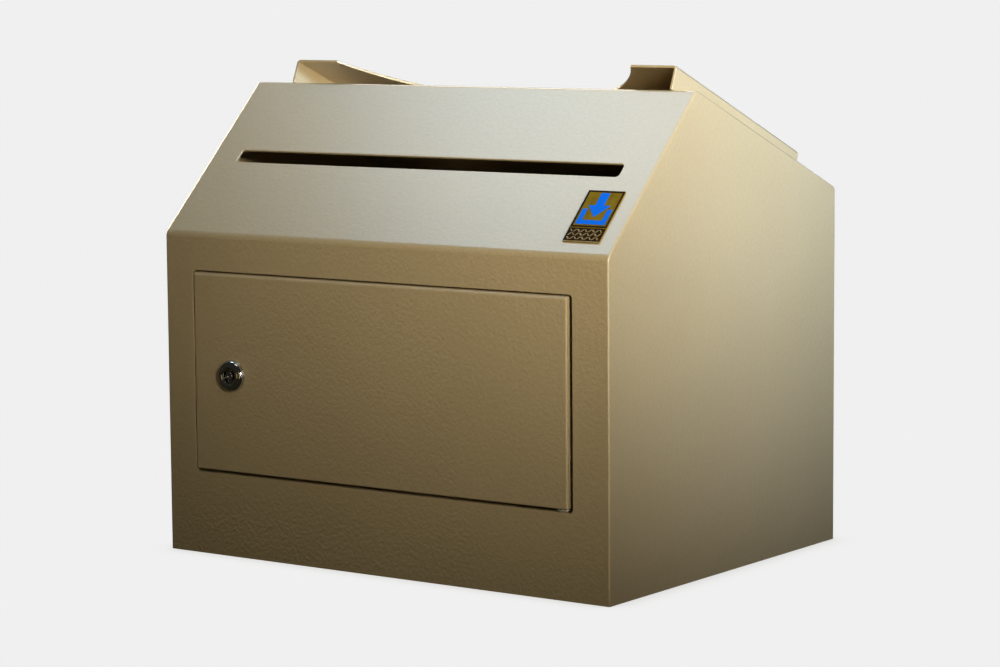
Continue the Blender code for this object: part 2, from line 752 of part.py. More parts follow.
def build_cam(finish):
    """The stop washer, cam, washer and nut on the spindle's drive."""
    lug = math.degrees(math.asin(LUG_WIDE / 2 / CORE_RADIUS))
    rim = arc(CORE_RADIUS, -90 + lug, 270 - lug, ROUND_STEPS)
    lug_tip = [(-LUG_WIDE / 2, -LUG_REACH), (LUG_WIDE / 2, -LUG_REACH)]
    washer = prism(rim + lug_tip, BARREL_LONG + GAP / 2, COLLAR_REAR - GAP / 2)
    stop = add_part("stop_washer", washer, finish, LOCK_FRAME)
    cut(stop, drive_hole("stop_washer_hole_cutter"))

    half_tip = CAM_TIP_WIDE / 2
    tip = 2 * MM
    outline = arc(CAM_ROOT_RADIUS, 0, 180, SMALL_STEPS)
    outline += [(-half_tip, tip - CAM_LONG), (tip - half_tip, -CAM_LONG)]
    outline += [(half_tip - tip, -CAM_LONG), (half_tip, tip - CAM_LONG)]
    cam = add_part("lock_cam", prism(outline, CAM_FRONT, CAM_REAR), finish, LOCK_FRAME)
    cut(cam, drive_hole("cam_hole_cutter"))

    bore = DRIVE_RADIUS + GAP
    rear = CAM_WASHER_FRONT + CAM_WASHER_THICK
    profile = [
        (bore, CAM_WASHER_FRONT),
        (bore, rear),
        (CAM_ROOT_RADIUS, rear),
        (CAM_ROOT_RADIUS, CAM_WASHER_FRONT),
    ]
    turned("cam_washer", profile, finish, LOCK_FRAME, SMALL_STEPS)
    nut_rear = CAM_NUT_FRONT + CAM_NUT_THICK
    nut = add_part(
        "cam_nut", hexagon(CAM_NUT_ACROSS_FLATS, CAM_NUT_FRONT, nut_rear), finish, LOCK_FRAME
    )
    thread = cylinder(bore, CAM_NUT_FRONT - MM, nut_rear + MM)
    cut(nut, add_cutter("cam_nut_bore_cutter", thread, LOCK_FRAME))


clear_scene()
PARTS = new_collection("drop_box")
CUTTERS = new_collection("cutters")

PAINT = body_paint()
ZINC = zinc_steel()
CHROME = bright_chrome()
NYLON = white_nylon()

build_front_shell(PAINT)
build_rear_shell(PAINT)
build_side_panels(PAINT)
build_base_tray(PAINT)
build_envelope_pocket(PAINT)
build_baffle(PAINT)
build_label(gold_foil())
build_door_frame(PAINT)
build_door_stops(PAINT)
build_door(door_paint())
build_hinge(ZINC, NYLON)
build_lock_housing(CHROME)
build_lock_fixings(ZINC)
build_tumblers(build_spindle(CHROME), brass())
build_cam(ZINC)
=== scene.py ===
"""Finished look of the drop box: painted steel casing, keyed door, cam lock and label."""

import logging
import math
from dataclasses import dataclass, field
from enum import Enum
from typing import Any, Callable, ClassVar, Iterable, Sequence

import bmesh
import bpy
from mathutils import Matrix, Vector


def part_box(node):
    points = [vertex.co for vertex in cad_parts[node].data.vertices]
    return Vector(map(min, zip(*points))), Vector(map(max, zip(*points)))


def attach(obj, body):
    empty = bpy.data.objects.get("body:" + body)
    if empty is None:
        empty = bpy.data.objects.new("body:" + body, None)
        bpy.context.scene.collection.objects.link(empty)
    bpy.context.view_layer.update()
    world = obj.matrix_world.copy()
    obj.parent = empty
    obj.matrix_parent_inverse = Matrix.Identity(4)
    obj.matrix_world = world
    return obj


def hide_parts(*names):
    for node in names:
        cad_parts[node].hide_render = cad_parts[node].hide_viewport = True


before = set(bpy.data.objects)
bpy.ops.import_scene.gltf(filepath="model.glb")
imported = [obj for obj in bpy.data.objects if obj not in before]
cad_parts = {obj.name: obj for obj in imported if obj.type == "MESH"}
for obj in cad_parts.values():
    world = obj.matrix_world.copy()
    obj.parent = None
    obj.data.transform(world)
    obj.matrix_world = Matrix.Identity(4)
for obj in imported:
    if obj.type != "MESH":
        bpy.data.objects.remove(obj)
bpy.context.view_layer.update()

LOG = logging.getLogger("drop_box")
MM = 0.001
TINY = 0.01 * MM
SMOOTH_ANGLE = math.radians(38)

Point = tuple[float, float]
Place = tuple[float, float, float]
Colour = tuple[float, float, float]
Bounds = tuple[float, float, float, float]
Shaper = Callable[[float, float, float], Place]


class Body(Enum):
    """The rigid bodies that pieces ride on."""

    BOX = "box"
    DOOR = "door"
    LOCK_PLUG = "lock_plug"


class Slot(Enum):
    """The finishes that the record lists."""

    BOX_PAINT = "beige_powder_coat"
    DOOR_PAINT = "beige_door_coat"
    ZINC = "zinc_plated_steel"
    CHROME = "chrome_plate"
    BRASS = "brass"
    NYLON = "natural_nylon"
    LABEL = "gold_foil"


# ---------------------------------------------------------------- shader graphs


class Signal:
    """A shader socket that arithmetic can be written on."""

    def __init__(self, graph: "NodeGraph", socket: bpy.types.NodeSocket) -> None:
        """Wraps one output socket of a graph."""
        self.graph = graph
        self.socket = socket

    def _math(self, operation: str, *terms: Any) -> "Signal":
        """Adds one Math node, from its operation and its values or signals in order."""
        return self.graph.signal("ShaderNodeMath", {"operation": operation}, dict(enumerate(terms)))

    def __add__(self, other: Any) -> "Signal":
        """Sum."""
        return self._math("ADD", self, other)

    __radd__ = __add__

    def __rsub__(self, other: Any) -> "Signal":
        """Difference from a value."""
        return self._math("SUBTRACT", other, self)

    def __mul__(self, other: Any) -> "Signal":
        """Product."""
        return self._math("MULTIPLY", self, other)

    __rmul__ = __mul__

    def step(self, low: float, high: float) -> "Signal":
        """A smooth step.

        Args:
            low: The value that becomes 0.
            high: The value that becomes 1.

        Returns:
            The stepped signal.
        """
        settings = {"interpolation_type": "SMOOTHSTEP"}
        values = {"Value": self, "From Min": low, "From Max": high, "To Min": 0.0, "To Max": 1.0}
        return self.graph.signal("ShaderNodeMapRange", settings, values)


class NodeGraph:
    """A node tree and the shader that its signals feed."""

    def __init__(self, owner: bpy.types.Material | bpy.types.World, shader: str) -> None:
        """Takes a shader's graph.

        Args:
            owner: The material or world.
            shader: The name of its shader node.
        """
        owner.use_nodes = True
        self.tree = owner.node_tree
        self.shader = self.tree.nodes[shader]

    def node(self, kind: str, settings: dict[str, Any], inputs: dict[Any, Any]) -> bpy.types.Node:
        """Adds one node.

        Args:
            kind: The node's type.
            settings: Its properties, set before its sockets. "stops" fills a colour ramp.
            inputs: Values or signals for its sockets, by name or number.

        Returns:
            The node.
        """
        node = self.tree.nodes.new(kind)
        for name, value in settings.items():
            if name == "stops":
                self._fill_ramp(node.color_ramp, value)
            else:
                setattr(node, name, value)
        for key, value in inputs.items():
            self._fill(node.inputs[key], value)
        return node

    def _fill(self, socket: bpy.types.NodeSocket, value: Any) -> None:
        """Links a signal to a socket, or sets the socket's value.

        Args:
            socket: The socket.
            value: The signal or value.
        """
        if isinstance(value, Signal):
            self.tree.links.new(value.socket, socket)
        else:
            socket.default_value = value

    @staticmethod
    def _fill_ramp(ramp: bpy.types.ColorRamp, stops: Sequence[tuple[float, Colour]]) -> None:
        """Sets a ramp's stops.

        Args:
            ramp: The colour ramp.
            stops: Positions with their colours.
        """
        while len(ramp.elements) < len(stops):
            ramp.elements.new(1.0)
        for element, (position, colour) in zip(ramp.elements, stops):
            element.position = position
            element.color = (*colour, 1.0)

    def signal(
        self, kind: str, settings: dict[str, Any], inputs: dict[Any, Any], output: Any = 0
    ) -> Signal:
        """Adds one node and takes one of its outputs, by name or number."""
        return Signal(self, self.node(kind, settings, inputs).outputs[output])

    def ramp(self, factor: Signal, stops: Sequence[tuple[float, Colour]]) -> Signal:
        """A colour ramp, from its stops' positions and colours."""
        return self.signal("ShaderNodeValToRGB", {"stops": stops}, {0: factor})

    def feed(self, **sockets: Any) -> None:
        """Sets the shader's sockets.

        Args:
            sockets: Values or signals by socket name, with _ for a space.
        """
        for name, value in sockets.items():
            filled = (*value, 1.0) if isinstance(value, tuple) else value
            self._fill(self.shader.inputs[name.replace("_", " ")], filled)


class ShaderGraph(NodeGraph):
    """A new material and the nodes that feed its Principled shader."""

    def __init__(self, name: str) -> None:
        """Starts a material with only its shader and output.

        Args:
            name: The material's name.
        """
        self.material = bpy.data.materials.new(name)
        super().__init__(self.material, "Principled BSDF")
        self._object_coords: Signal | None = None

    def coords(self) -> Signal:
        """Object coordinates, from one shared node.

        Returns:
            The coordinates, in metres.
        """
        if self._object_coords is None:
            self._object_coords = self.signal("ShaderNodeTexCoord", {}, {}, "Object")
        return self._object_coords

    def stretched(self, scale: Sequence[float]) -> Signal:
        """Object coordinates scaled along each axis."""
        inputs = {0: self.coords(), 1: tuple(scale)}
        return self.signal("ShaderNodeVectorMath", {"operation": "MULTIPLY"}, inputs)

    def noise(self, size: float, detail: float = 2.0, where: Signal | None = None) -> Signal:
        """Soft noise from 0 to 1, with blobs of a size in metres and some octaves of detail."""
        inputs = {"Vector": where or self.coords(), "Scale": 1 / size, "Detail": detail}
        return self.signal("ShaderNodeTexNoise", {}, inputs, "Fac")

    def cells(self, size: float, smoothness: float = 0.6) -> Signal:
        """Rounded cells of a size in metres: 0 at each centre and rising to its rim."""
        inputs = {"Vector": self.coords(), "Scale": 1 / size, "Smoothness": smoothness}
        return self.signal("ShaderNodeTexVoronoi", {"feature": "SMOOTH_F1"}, inputs, "Distance")

    def edge_mask(self, radius: float, gain: float = 4.0) -> Signal:
        """1 on convex and concave edges, fading to 0 on flats.

        Args:
            radius: How far from an edge it reaches, in metres.
            gain: How quickly it rises.

        Returns:
            The mask.
        """
        rounded = self.signal("ShaderNodeBevel", {"samples": 4}, {"Radius": radius})
        flat = self.signal("ShaderNodeNewGeometry", {}, {}, "Normal")
        dot = self.signal(
            "ShaderNodeVectorMath", {"operation": "DOT_PRODUCT"}, {0: rounded, 1: flat}, "Value"
        )
        return ((1.0 - dot) * gain).step(0.0, 1.0)

    def mix(self, factor: Any, first: Any, second: Any) -> Signal:
        """A blend of two colours: 0 is the first and 1 the second."""
        inputs = {0: factor, 6: self._rgba(first), 7: self._rgba(second)}
        return self.signal("ShaderNodeMix", {"data_type": "RGBA"}, inputs, 2)

    @staticmethod
    def _rgba(colour: Any) -> Any:
        """Adds full alpha to a plain colour."""
        return colour if isinstance(colour, Signal) else (*colour, 1.0)

    def bump(self, height: Signal, distance: float, strength: float) -> Signal:
        """A bumped normal. A height of 1 stands the distance high, in metres."""
        inputs = {"Height": height, "Distance": distance, "Strength": strength}
        return self.signal("ShaderNodeBump", {}, inputs)

    def dress(self, **sockets: Any) -> bpy.types.Material:
        """Feeds the shader's sockets and gives the finished material."""
        self.feed(**sockets)
        return self.material


# ---------------------------------------------------------------- finishes


@dataclass(frozen=True)
class PowderCoat:
    """Beige powder coat with a fine orange-peel texture and a painted edge highlight."""

    name: str
    colour: Colour
    deep: Colour
    dimple: float = 2.7 * MM
    grain: float = 0.55 * MM
    roughness: float = 0.34
    depth: float = 0.53 * MM
    gloss: float = 1.0
    coat_roughness: float = 0.26
    cloud: float = 90 * MM
    levelling: float = 0.72
    edge_reach: float = 1.2 * MM

    def material(self) -> bpy.types.Material:
        """Builds the finish.

        Returns:
            The material.
        """
        graph = ShaderGraph(self.name)
        peel = graph.noise(self.dimple, 1.5)
        pits = graph.cells(self.dimple * 0.8)
        grain = graph.noise(self.grain, 2.0)
        cloud = graph.noise(self.cloud, 3.0)
        facing = graph.signal("ShaderNodeTexCoord", {}, {}, "Normal")
        upward = graph.signal("ShaderNodeSeparateXYZ", {}, {0: facing}, 2)
        flow = 1.0 - upward.step(0.35, 0.65) * self.levelling
        height = (peel * 0.62 + pits * 0.3) * flow + grain * 0.08
        edge = graph.edge_mask(self.edge_reach)
        tone = (peel * 0.5 + cloud * 0.4 + grain * 0.2).step(0.3, 0.8)
        paint = graph.mix(tone, self.deep, self.colour)
        # Lighter colour along convex and concave edges: a painted edge highlight.
        edge_highlight = tuple(min(1.0, c * 1.1 + 0.02) for c in self.colour)
        return graph.dress(
            Base_Color=graph.mix(edge * 0.5, paint, edge_highlight),
            Roughness=self.roughness - 0.06 + peel * 0.08 + cloud * 0.06,
            Normal=graph.bump(height, self.depth, 1.0),
            Coat_Weight=self.gloss,
            Coat_Roughness=self.coat_roughness,
        )


@dataclass(frozen=True)
class PlatedMetal:
    """Bright plated metal, with soft clouding, hairline wear and a painted edge glint."""

    name: str
    colour: Colour
    shade: Colour
    roughness: float
    mottle: float = 3 * MM
    scratches: float = 0.04
    edge_reach: float = 0.35 * MM

    def material(self) -> bpy.types.Material:
        """Builds the finish.

        Returns:
            The material.
        """
        graph = ShaderGraph(self.name)
        mottle = graph.noise(self.mottle, 3.0)
        hairs = graph.noise(0.25 * MM, 1.0, graph.stretched((1.0, 0.06, 1.0)))
        fine = graph.noise(0.4 * MM, 2.0)
        edge = graph.edge_mask(self.edge_reach)
        tint = graph.mix(mottle.step(0.3, 0.75), self.shade, self.colour)
        # Lighter colour along convex and concave edges: a painted edge glint.
        bright = tuple(min(1.0, c * 1.12) for c in self.colour)
        rough = self.roughness + mottle * self.scratches + hairs.step(0.55, 0.7) * self.scratches
        return graph.dress(
            Base_Color=graph.mix(edge * 0.6, tint, bright),
            Metallic=1.0,
            Roughness=rough,
            Normal=graph.bump(fine * 0.6 + hairs * 0.4, 0.01 * MM, 0.25),
        )


@dataclass(frozen=True)
class Nylon:
    """Natural nylon, slightly yellow and waxy."""

    name: str = "natural_nylon_look"
    colour: Colour = (0.78, 0.75, 0.66)
    shade: Colour = (0.64, 0.6, 0.5)

    def material(self) -> bpy.types.Material:
        """Builds the finish.

        Returns:
            The material.
        """
        graph = ShaderGraph(self.name)
        cloud = graph.noise(4 * MM, 3.0)
        grain = graph.noise(0.3 * MM, 2.0)
        return graph.dress(
            Base_Color=graph.mix(cloud, self.shade, self.colour),
            Roughness=0.36 + cloud * 0.12,
            Normal=graph.bump(grain, 0.02 * MM, 0.4),
        )


@dataclass(frozen=True)
class GoldFoil:
    """Gold foil on the label, with a fine satin grain."""

    name: str = "gold_foil_look"
    colour: Colour = (0.325, 0.225, 0.012)
    shade: Colour = (0.2, 0.13, 0.006)

    def material(self) -> bpy.types.Material:
        """Builds the finish.

        Returns:
            The material.
        """
        graph = ShaderGraph(self.name)
        grain = graph.noise(0.22 * MM, 2.0, graph.stretched((0.08, 1.0, 1.0)))
        cloud = graph.noise(9 * MM, 3.0)
        tone = (grain * 0.5 + cloud * 0.6).step(0.3, 0.85)
        return graph.dress(
            Base_Color=graph.mix(tone, self.shade, self.colour),
            Metallic=0.1,
            Specular_IOR_Level=0.06,
            Roughness=0.42 + grain * 0.2,
            Normal=graph.bump(grain, 0.012 * MM, 0.5),
        )


@dataclass(frozen=True)
class Ink:
    """Printed ink, slightly raised and uneven."""

    name: str
    colour: Colour
    shade: Colour

    def material(self) -> bpy.types.Material:
        """Builds the finish.

        Returns:
            The material.
        """
        graph = ShaderGraph(self.name)
        cloud = graph.noise(1.2 * MM, 3.0)
        return graph.dress(
            Base_Color=graph.mix(cloud.step(0.25, 0.75), self.shade, self.colour),
            Specular_IOR_Level=0.03,
            Roughness=0.4 + cloud * 0.14,
            Normal=graph.bump(graph.noise(0.3 * MM, 1.0), 0.01 * MM, 0.4),
        )


@dataclass(frozen=True)
class FloorPaper:
    """Pale seamless paper that glows evenly, with a painted contact shadow where the box meets it.
    """

    name: str = "studio_paper"
    bright: float = 0.825
    # Darkest level of the painted contact shadow.
    painted_shadow_level: float = 0.6
    reach: float = 24 * MM

    def material(self) -> bpy.types.Material:
        """Builds the finish.

        Returns:
            The material.
        """
        graph = ShaderGraph(self.name)
        # Painted contact shadow: ambient occlusion darkens the glow near the box.
        near = graph.signal(
            "ShaderNodeAmbientOcclusion", {"samples": 12}, {"Distance": self.reach}, "AO"
        )
        fibre = graph.noise(1.5 * MM, 2.0)
        lit = (self.bright,) * 3
        shade = (self.painted_shadow_level, self.painted_shadow_level * 0.98, self.painted_shadow_level * 0.93)
        paper = graph.mix(near.step(0.0, 1.0), shade, lit)
        return graph.dress(
            Base_Color=(0.0, 0.0, 0.0),
            Roughness=1.0,
            Specular_IOR_Level=0.0,
            Emission_Color=graph.mix(fibre * 0.02, paper, (0.8, 0.8, 0.8)),
            Emission_Strength=1.0,
        )


@dataclass(frozen=True)
class Finish:
    """A finish's material and the slot that it fills."""

    slot: Slot
    material: bpy.types.Material

    @classmethod
    def of(cls, slot: Slot, look: Any) -> "Finish":
        """Builds a look for a slot."""
        return cls(slot, look.material())


@dataclass(frozen=True)
class Finishes:
    """Every finish of the object, by what it covers."""

    box: Finish
    door: Finish
    zinc: Finish
    chrome: Finish
    brass: Finish
    nylon: Finish
    foil: Finish
    blue_ink: Finish
    pale_ink: Finish
    brown_ink: Finish

    @classmethod
    def make(cls) -> "Finishes":
        """Builds every finish.

        Returns:
            The finishes.
        """
        beige: Colour = (0.62, 0.492, 0.295)
        deep: Colour = (0.57, 0.452, 0.268)
        looks = [
            (Slot.BOX_PAINT, PowderCoat("beige_powder_coat_look", beige, deep)),
            (Slot.DOOR_PAINT, PowderCoat("beige_door_coat_look", beige, deep, dimple=2.9 * MM)),
            (Slot.ZINC, PlatedMetal("zinc_look", (0.64, 0.65, 0.66), (0.5, 0.52, 0.54), 0.3)),
            (
                Slot.CHROME,
                PlatedMetal("chrome_look", (0.76,) * 3, (0.68, 0.68, 0.69), 0.07, scratches=0.03),
            ),
            (Slot.BRASS, PlatedMetal("brass_look", (0.76, 0.56, 0.22), (0.6, 0.42, 0.16), 0.24)),
            (Slot.NYLON, Nylon()),
            (Slot.LABEL, GoldFoil()),
            (Slot.LABEL, Ink("blue_ink_look", (0.006, 0.215, 0.98), (0.006, 0.18, 0.9))),
            (Slot.LABEL, Ink("pale_ink_look", (0.42, 0.33, 0.19), (0.3, 0.22, 0.1))),
            (Slot.LABEL, Ink("brown_ink_look", (0.045, 0.022, 0.006), (0.03, 0.014, 0.004))),
        ]
        return cls(*(Finish.of(slot, look) for slot, look in looks))


# ---------------------------------------------------------------- modelling


def add_object(name: str, data: bpy.types.ID) -> bpy.types.Object:
    """Adds an object to the scene.

    Args:
        name: The object's name.
        data: Its mesh, light, camera or curve.

    Returns:
        The object.
    """
    obj = bpy.data.objects.new(name, data)
    bpy.context.scene.collection.objects.link(obj)
    return obj


def to_object(
    name: str, bm: bmesh.types.BMesh, place: Matrix | None = None, shown: bool = True
) -> bpy.types.Object:
    """Turns a bmesh into an object whose own frame is the box's.

    Args:
        name: The piece's name.
        bm: Its shape, which is freed.
        place: Where the shape goes in the box's frame.
        shown: False for a cutter.

    Returns:
        The object.
    """
    if place is not None:
        bm.transform(place)
    bm.normal_update()
    bmesh.ops.recalc_face_normals(bm, faces=bm.faces)
    mesh = bpy.data.meshes.new(name)
    bm.to_mesh(mesh)
    bm.free()
    obj = add_object(name, mesh)
    if shown:
        mesh.shade_smooth()
        mesh.set_sharp_from_angle(angle=SMOOTH_ANGLE)
    else:
        obj.hide_render = True
        obj.display_type = "WIRE"
    return obj


def finish_piece(
    obj: bpy.types.Object, body: Body, finish: Finish, nodes: Iterable[str] = ()
) -> None:
    """Dresses a piece and lets it ride on its body.

    Args:
        obj: The piece.
        body: The body it moves with.
        finish: Its finish.
        nodes: The CAD nodes it stands for.
    """
    obj.data.materials.clear()
    obj.data.materials.append(finish.material)
    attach(obj, body.value)
    if nodes:
        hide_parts(*nodes)
    LOG.info("%s rides on %s", obj.name, body.value)


def block(low: Sequence[float], high: Sequence[float]) -> bmesh.types.BMesh:
    """A box between two corners.

    Args:
        low: The lowest corner.
        high: The highest corner.

    Returns:
        The shape.
    """
    bm = bmesh.new()
    bmesh.ops.create_cube(bm, size=1)
    start, end = Vector(low), Vector(high)
    bmesh.ops.scale(bm, vec=end - start, verts=bm.verts)
    bmesh.ops.translate(bm, vec=(start + end) / 2, verts=bm.verts)
    return bm


def pull(bm: bmesh.types.BMesh, outline: Sequence[Place], way: Place) -> None:
    """Adds a flat face and pulls it out into a solid.

    Args:
        bm: The shape that it is added to.
        outline: The face's corners, in order.
        way: How far and which way it is pulled.
    """
    base = bm.faces.new([bm.verts.new(corner) for corner in outline])
    pulled = bmesh.ops.extrude_face_region(bm, geom=[base])["geom"]
    moved = [item for item in pulled if isinstance(item, bmesh.types.BMVert)]
    bmesh.ops.translate(bm, vec=way, verts=moved)


def prism(outline: Sequence[Point], low: float, high: float) -> bmesh.types.BMesh:
    """A plate with an (x, y) outline.

    Args:
        outline: Its corners, in order.
        low: The height of its lower face.
        high: The height of its upper face.

    Returns:
        The shape.
    """
    bm = bmesh.new()
    pull(bm, [(x, y, low) for x, y in outline], (0, 0, high - low))
    return bm


def arc(radius: float, start: float, end: float, steps: int) -> list[Point]:
    """Points round an arc about the origin, from one angle to another in degrees."""
    angles = [math.radians(start + (end - start) * step / steps) for step in range(steps + 1)]
    return [(radius * math.cos(a), radius * math.sin(a)) for a in angles]


def lathe(
    profile: Sequence[Point], steps: int = 96, shape: Shaper | None = None
) -> bmesh.types.BMesh:
    """A turned ring or solid about Z.

    Args:
        profile: (radius, height) points. It closes into a ring unless it starts and ends at 0.
        steps: How many parts the turn has.
        shape: Changes each point from its angle, radius and height to an (x, y, z).

    Returns:
        The shape.
    """
    bm = bmesh.new()
    solid = profile[0][0] == 0 and profile[-1][0] == 0
    rings = []
    for radius, height in profile:
        ring = []
        for step in range(steps):
            angle = 2 * math.pi * step / steps
            if shape:
                place = shape(angle, radius, height)
            else:
                place = (radius * math.cos(angle), radius * math.sin(angle), height)
            ring.append(bm.verts.new(place))
        rings.append(ring)
    pairs = list(zip(rings, rings[1:]))
    if not solid:
        pairs.append((rings[-1], rings[0]))
    for first, second in pairs:
        for step in range(steps):
            after = (step + 1) % steps
            bm.faces.new((first[step], first[after], second[after], second[step]))
    bmesh.ops.remove_doubles(bm, verts=bm.verts, dist=0.0005 * MM)
    return bm


def edges_along(bm: bmesh.types.BMesh, axis: int) -> list[bmesh.types.BMEdge]:
    """The edges that run along one axis.

    Args:
        bm: The shape.
        axis: 0 for X, 1 for Y and 2 for Z.

    Returns:
        The edges.
    """
    found = []
    for edge in bm.edges:
        run = edge.verts[0].co - edge.verts[1].co
        if abs(run[axis]) > 0.99 * run.length:
            found.append(edge)
    return found


def inner_edges(bm: bmesh.types.BMesh) -> list[bmesh.types.BMEdge]:
    """The edges that two faces share."""
    return [edge for edge in bm.edges if len(edge.link_faces) == 2]


def round_edges(
    bm: bmesh.types.BMesh, edges: Sequence[bmesh.types.BMEdge], width: float, steps: int = 5
) -> None:
    """Rounds some edges.

    Args:
        bm: The shape.
        edges: Its edges to round.
        width: How far from each edge the rounding starts.
        steps: How many parts it has.
    """
    bmesh.ops.bevel(
        bm, geom=list(edges), offset=width, segments=steps, profile=0.5, affect="EDGES"
    )


def round_corners(
    obj: bpy.types.Object, width: float, steps: int, chosen: Callable[[Vector, Vector], bool]
) -> None:
    """Rounds the sharp outward edges of a settled piece that pass a test.

    Args:
        obj: The piece.
        width: How far from each edge the rounding starts.
        steps: How many parts it has.
        chosen: Says from an edge's two ends whether it is rounded.
    """
    bm = bmesh.new()
    bm.from_mesh(obj.data)
    bm.normal_update()
    edges = []
    for edge in inner_edges(bm):
        sharp = edge.is_convex and edge.calc_face_angle() > SMOOTH_ANGLE
        if sharp and chosen(edge.verts[0].co, edge.verts[1].co):
            edges.append(edge)
    round_edges(bm, edges, width, steps)
    bm.to_mesh(obj.data)
    bm.free()


def drop_faces(bm: bmesh.types.BMesh, axis: int, sign: float) -> None:
    """Takes away the faces that look along one axis.

    Args:
        bm: The shape.
        axis: 0 for X, 1 for Y and 2 for Z.
        sign: 1 or -1, the way they look.
    """
    bm.normal_update()
    faces = [face for face in bm.faces if face.normal[axis] * sign > 0.9]
    bmesh.ops.delete(bm, geom=faces, context="FACES")


def add_wall(obj: bpy.types.Object, thickness: float) -> None:
    """Gives an open surface its thickness, behind it.

    Args:
        obj: The surface.
        thickness: How thick it gets.
    """
    wall = obj.modifiers.new("wall", "SOLIDIFY")
    wall.thickness = thickness
    wall.offset = -1
    wall.use_even_offset = True


def cut(
    obj: bpy.types.Object, name: str, bm: bmesh.types.BMesh, place: Matrix | None = None
) -> None:
    """Takes a shape out of a piece.

    Args:
        obj: The piece.
        name: The cutter's name.
        bm: The shape to take away.
        place: Where the shape goes in the box's frame.
    """
    modifier = obj.modifiers.new("cut", "BOOLEAN")
    modifier.operation = "DIFFERENCE"
    modifier.solver = "EXACT"
    modifier.object = to_object(name, bm, place, shown=False)


def soften(obj: bpy.types.Object, width: float, steps: int = 2, angle: float = 40) -> None:
    """Rounds a piece's sharp edges slightly, and keeps its flats flat.

    Args:
        obj: The piece.
        width: The rounding's width.
        steps: How many parts it has.
        angle: The sharpest turn that stays, in degrees.
    """
    bevel = obj.modifiers.new("soft_edges", "BEVEL")
    bevel.width = width
    bevel.segments = steps
    bevel.limit_method = "ANGLE"
    bevel.angle_limit = math.radians(angle)
    bevel.miter_outer = "MITER_ARC"
    bevel.use_clamp_overlap = True
    bevel.harden_normals = False
    weighted = obj.modifiers.new("flat_faces", "WEIGHTED_NORMAL")
    weighted.keep_sharp = False
    weighted.weight = 80


def evaluated_mesh(obj: bpy.types.Object) -> bpy.types.Mesh:
    """A new mesh with an object's evaluated shape."""
    graph = bpy.context.evaluated_depsgraph_get()
    return bpy.data.meshes.new_from_object(obj.evaluated_get(graph))


def settle(obj: bpy.types.Object) -> bpy.types.Object:
    """Makes a piece's modifiers permanent.

    Args:
        obj: The piece.

    Returns:
        The piece.
    """
    mesh = evaluated_mesh(obj)
    obj.modifiers.clear()
    old = obj.data
    obj.data = mesh
    bpy.data.meshes.remove(old)
    mesh.name = obj.name
    return obj


def cad_copy(node: str, name: str) -> bpy.types.Object:
    """A new piece with a CAD node's shape, its flats joined into whole faces.

    Args:
        node: The CAD node.
        name: The piece's name.

    Returns:
        The piece.
    """
    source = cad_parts[node].data
    bm = bmesh.new()
    verts = [bm.verts.new(vert.co) for vert in source.vertices]
    for polygon in source.polygons:
        bm.faces.new([verts[index] for index in polygon.vertices])
    bmesh.ops.remove_doubles(bm, verts=bm.verts, dist=0.002 * MM)
    bmesh.ops.dissolve_limit(bm, angle_limit=math.radians(0.6), verts=bm.verts, edges=bm.edges)
    return to_object(name, bm)


def softened_copies(nodes: Iterable[str], body: Body, finish: Finish, width: float) -> None:
    """Builds dressed copies of CAD nodes with softened edges.

    Args:
        nodes: The CAD nodes, which the copies stand for.
        body: The body they move with.
        finish: Their finish.
        width: The rounding's width.
    """
    for node in nodes:
        obj = cad_copy(node, f"{node}_finished")
        soften(obj, width, 2, 50)
        finish_piece(settle(obj), body, finish, [node])


def axle_frame(low: Vector, high: Vector) -> Matrix:
    """The frame of a turned piece, with Z to the rear from its front face.

    Args:
        low: The lowest corner of its box.
        high: The highest corner.

    Returns:
        The frame.
    """
    centre = (low + high) / 2
    place = Matrix.Translation((centre.x, low.y, centre.z))
    return place @ Matrix.Rotation(-math.pi / 2, 4, "X")


# ---------------------------------------------------------------- casing


